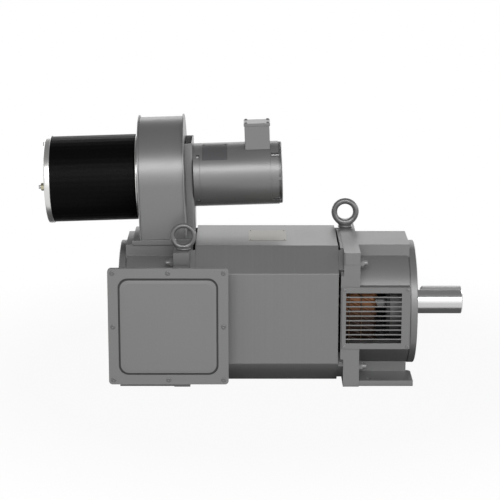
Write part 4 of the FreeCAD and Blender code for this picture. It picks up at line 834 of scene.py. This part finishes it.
def makeCoils():
    points = corners("stator_winding") - shaftAxis["at"]
    tip = points[:, 0].max()
    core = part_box("stator_core")[1].x
    endTurns = points[points[:, 0] > core + coils["endTurns"]]
    reach = np.hypot(endTurns[:, 1], endTurns[:, 2])
    radius, inner = reach.max(), reach.min()
    wire, out = coils["wire"], radius + coils["proud"] - coils["wire"]
    half = (out - inner - wire) / 2
    s = np.linspace(0, 1, coils["steps"])
    share, begin = coils["runShare"], core + coils["clear"]
    run = np.clip(s / share, 0, 1)  # first the run out along the barrel
    bend = np.clip((s - share) / (1 - share), 0, 1) * math.pi  # then half a turn over the nose
    x = begin + run * (tip - half - begin) + half * np.sin(bend)
    r = out - half + half * np.cos(bend)
    turn = math.radians(coils["twist"]) * s
    parts = []
    for step in range(coils["count"]):
        t = turn + step * 2 * math.pi / coils["count"]
        path = np.stack([x, r * np.cos(t), r * np.sin(t)], 1) + shaftAxis["at"]
        parts.append(tubePart(path, wire))
    makePiece("coil_bundles", parts, finishes["copper_winding"], sharpDeg=60)
    parts = []
    t = fullTurn(360)
    for share in lacing["places"]:
        level = core + share * (tip - core)
        wave = lacing["lift"] + lacing["wave"] * np.cos(coils["count"] * t)
        rise = out + wire + lacing["thick"] * wave
        path = np.stack([np.full_like(t, level), rise * np.cos(t), rise * np.sin(t)], 1) + shaftAxis["at"]
        parts.append(tubePart(path, lacing["thick"], sides=8, closed=True))
    makePiece("coil_lacing", parts, twineFinish, sharpDeg=60)


# Bare plates: one on the fan motor's shell, one on the frame's top

fanPlate = {"from": 91e-3, "to": 148e-3, "lowDeg": 37.0, "highDeg": 82.0, "thick": 0.6e-3}
framePlate = {"low": (-0.0395, -0.054), "high": (0.0445, 0.046), "thick": 0.6e-3}
rivets = {"radius": 1.7e-3, "height": 1e-3, "inset": 4e-3}


def rivetPart(place, normal, across):
    return panPart(shiftedAxis(place, normal, across), rivets["radius"], rivets["height"], 16)


def platePart(outer, inner):
    # two matching grids are the faces of a thin plate, and their rims are joined into a closed shell
    rows, columns = outer.shape[:2]
    rim = np.concatenate([np.arange(columns), np.arange(1, rows) * columns + columns - 1,
                          (rows - 1) * columns + np.arange(columns - 2, -1, -1),
                          np.arange(rows - 2, 0, -1) * columns])
    points, faces = gridPart(outer)
    lower, lowerFaces = gridPart(inner)
    count = len(points)
    faces = faces + [[index + count for index in face[::-1]] for face in lowerFaces]
    after = np.roll(rim, -1)
    faces += np.stack([rim, rim + count, after + count, after], 1).tolist()
    return np.concatenate([points, lower]), faces


def makePlates():
    radius = spanOn("fan_motor_shell", blowerAxis)[2]
    turn = np.radians(np.linspace(fanPlate["lowDeg"], fanPlate["highDeg"], 20))
    along = np.linspace(fanPlate["from"], fanPlate["to"], 2)
    around = aroundAxis(blowerAxis, turn)
    base = blowerAxis["at"] + along[None, :, None] * blowerAxis["along"]
    outer = base + (radius + fanPlate["thick"]) * around[:, None]
    inner = base + (radius - fanPlate["thick"]) * around[:, None]
    parts = [platePart(outer, inner)]
    swing = rivets["inset"] / radius
    for t in (turn[0] + swing, turn[-1] - swing):
        for x in (along[0] + rivets["inset"], along[-1] - rivets["inset"]):
            normal = math.cos(t) * blowerAxis["front"] + math.sin(t) * blowerAxis["top"]
            place = blowerAxis["at"] + x * blowerAxis["along"] + (radius + fanPlate["thick"]) * normal
            parts.append(rivetPart(place, normal, blowerAxis["along"]))
    makePiece("fan_motor_blank_plate", parts, darkPlate)

    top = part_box("stator_core")[1].z
    x = np.array([framePlate["low"][0], framePlate["high"][0]])
    y = np.array([framePlate["low"][1], framePlate["high"][1]])
    flat = np.stack(np.broadcast_arrays(x[None, :], y[:, None], 0.0), -1)
    lift = np.array([0, 0, framePlate["thick"]])
    level = np.array([0, 0, top])
    parts = [platePart(flat + level + lift, flat + level - lift)]
    for px in (x[0] + rivets["inset"], x[1] - rivets["inset"]):
        for py in (y[0] + rivets["inset"], y[1] - rivets["inset"]):
            parts.append(rivetPart((px, py, top + framePlate["thick"]), toTop, toFront))
    makePiece("frame_blank_plate", parts, palePlate)


makeTerminalCover()
makeTerminalScrews()
makeCoverScrews()
makeBlowerFasteners()
makeRearCoverBolts()
makeBracketFasteners()
makeFilterFasteners()
makeEyes()
makeFilter()
makeCoils()
makePlates()


# Stage: pale floor, soft studio light, and the camera of the photograph

stage = {"floorHalf": 30.0, "floorColor": (0.19, 0.19, 0.19), "floorGlow": 0.945, "whiteFrom": 0.55,
         "whiteTo": 1.0, "ambient": 0.14, "zenith": 0.28, "skyFrom": 0.4, "skyTo": 0.8, "sideFrom": 0.6,
         "sideTo": 0.95, "sideWall": 0.3}
underside = {"midX": -0.2, "halfX": 0.72, "midY": 0.175, "halfY": 0.305, "fade": 0.03,
             "mirror": 0.03}  # the floor under the motor, which shines back least
lamps = {
    "keyStrip": {"place": (0.1, -3.25, 2.35), "size": (3.0, 1.0), "power": 73.0},
    "frontFill": {"place": (0.0, -4.5, 1.25), "size": (5.0, 2.4), "power": 20.0},
    "rightFront": {"place": (3.0, -3.1, 1.2), "size": (2.4, 2.0), "power": 36.0},
    "backTop": {"place": (0.0, 3.4, 1.9), "size": (3.2, 1.2), "power": 16.5},
    "backLeft": {"place": (-3.0, 3.6, 1.0), "size": (2.0, 1.6), "power": 38.0},
    "backRight": {"place": (3.2, 3.4, 1.0), "size": (2.0, 1.6), "power": 48.0},
    "leftSide": {"place": (-3.6, -0.3, 1.3), "size": (1.6, 1.6), "power": 9.0},
    "rightSide": {"place": (3.6, -0.3, 1.3), "size": (1.6, 1.6), "power": 18.0},
}
shot = {"aim": (-0.0369, 0.0, 0.2783), "distance": 4.158, "elevation": 13.57, "lens": 131.72,
        "sensor": 36.0, "reach": 200.0}


def makeFloor():
    half = stage["floorHalf"]
    mesh = bpy.data.meshes.new("floor")
    square = [(-half, -half, 0), (half, -half, 0), (half, half, 0), (-half, half, 0)]
    mesh.from_pydata(square, [], [(0, 1, 2, 3)])
    material = bpy.data.materials.new("pale_floor")
    material.use_nodes = True
    tree = material.node_tree
    tree.nodes.clear()
    matt = addNode(tree, "ShaderNodeBsdfDiffuse", {"Color": (*stage["floorColor"], 1)})
    glow = addNode(tree, "ShaderNodeEmission", {"Color": (1, 1, 1, 1), "Strength": 1.0})
    rays = addNode(tree, "ShaderNodeLightPath")
    place = objectPlace(tree)
    reach = addNode(tree, "ShaderNodeVectorMath", {0: place}, operation="LENGTH").outputs["Value"]
    far = rampNode(tree, reach, stage["whiteFrom"], stage["whiteTo"], stage["floorGlow"])  # white far away
    seen = mathNode(tree, "ADD", rays.outputs["Is Camera Ray"], rays.outputs["Is Transmission Ray"])
    split = splitPlace(tree, place)
    fromX = mathNode(tree, "SUBTRACT", split["X"], underside["midX"])
    fromY = mathNode(tree, "SUBTRACT", split["Y"], underside["midY"])
    pastX = mathNode(tree, "SUBTRACT", mathNode(tree, "ABSOLUTE", fromX, 0.0), underside["halfX"])
    pastY = mathNode(tree, "SUBTRACT", mathNode(tree, "ABSOLUTE", fromY, 0.0), underside["halfY"])
    past = mathNode(tree, "MAXIMUM", pastX, pastY)
    clear = rampNode(tree, past, 0.0, underside["fade"], underside["mirror"])
    mirror = mathNode(tree, "MULTIPLY", rays.outputs["Is Glossy Ray"], clear)
    share = mathNode(tree, "MULTIPLY_ADD", seen, far, mirror)
    mix = addNode(tree, "ShaderNodeMixShader", {0: share, 1: matt.outputs[0], 2: glow.outputs[0]})
    addNode(tree, "ShaderNodeOutputMaterial", {"Surface": mix.outputs[0]})
    mesh.materials.append(material)
    addObject("floor", mesh)


def makeWorld():
    world = bpy.data.worlds.new("studio")
    bpy.context.scene.world = world
    world.use_nodes = True
    tree = world.node_tree
    tree.nodes.clear()
    rays = addNode(tree, "ShaderNodeLightPath")
    seen = mathNode(tree, "ADD", rays.outputs["Is Camera Ray"], rays.outputs["Is Glossy Ray"])
    seen = mathNode(tree, "ADD", seen, rays.outputs["Is Transmission Ray"])
    soft = addNode(tree, "ShaderNodeBackground", {"Color": (1, 1, 1, 1), "Strength": stage["ambient"]})
    direction = addNode(tree, "ShaderNodeTexCoord").outputs["Generated"]
    split = splitPlace(tree, direction)
    across = mathNode(tree, "ABSOLUTE", split["X"], 0.0)
    # white walls, a dim ceiling and dim walls at both ends, seen so only in reflections
    sky = rampNode(tree, split["Z"], stage["skyFrom"], stage["skyTo"], 1.0, stage["zenith"])
    wall = rampNode(tree, across, stage["sideFrom"], stage["sideTo"], 1.0, stage["sideWall"])
    dim = mathNode(tree, "MULTIPLY_ADD", sky, wall, -1.0)
    level = mathNode(tree, "MULTIPLY_ADD", dim, rays.outputs["Is Glossy Ray"], 1.0)
    white = addNode(tree, "ShaderNodeBackground", {"Color": (1, 1, 1, 1), "Strength": level})
    mix = addNode(tree, "ShaderNodeMixShader", {0: seen, 1: soft.outputs[0], 2: white.outputs[0]})
    addNode(tree, "ShaderNodeOutputWorld", {"Surface": mix.outputs[0]})


def makeLamps():
    target = Vector(shot["aim"])
    for name, spec in lamps.items():
        light = bpy.data.lights.new(name, "AREA")
        light.shape, light.size, light.size_y = "RECTANGLE", *spec["size"]
        light.energy = spec["power"]
        lamp = addObject(name, light)
        lamp.location = spec["place"]
        lamp.rotation_euler = (target - lamp.location).to_track_quat("-Z", "Y").to_euler()


def makeCamera():
    tilt = math.radians(shot["elevation"])
    back = Vector((0, -math.cos(tilt), math.sin(tilt)))
    data = bpy.data.cameras.new("camera")
    data.sensor_width, data.sensor_fit, data.lens = shot["sensor"], "AUTO", shot["lens"]
    data.clip_end = shot["reach"]
    camera = addObject("camera", data)
    camera.location = Vector(shot["aim"]) + back * shot["distance"]
    camera.rotation_euler = (-back).to_track_quat("-Z", "Y").to_euler()
    bpy.context.scene.camera = camera


makeFloor()
makeWorld()
makeLamps()
makeCamera()
bpy.context.scene.view_settings.view_transform = "Standard"
print("stage: floor, world,", len(lamps), "lamps and the camera")
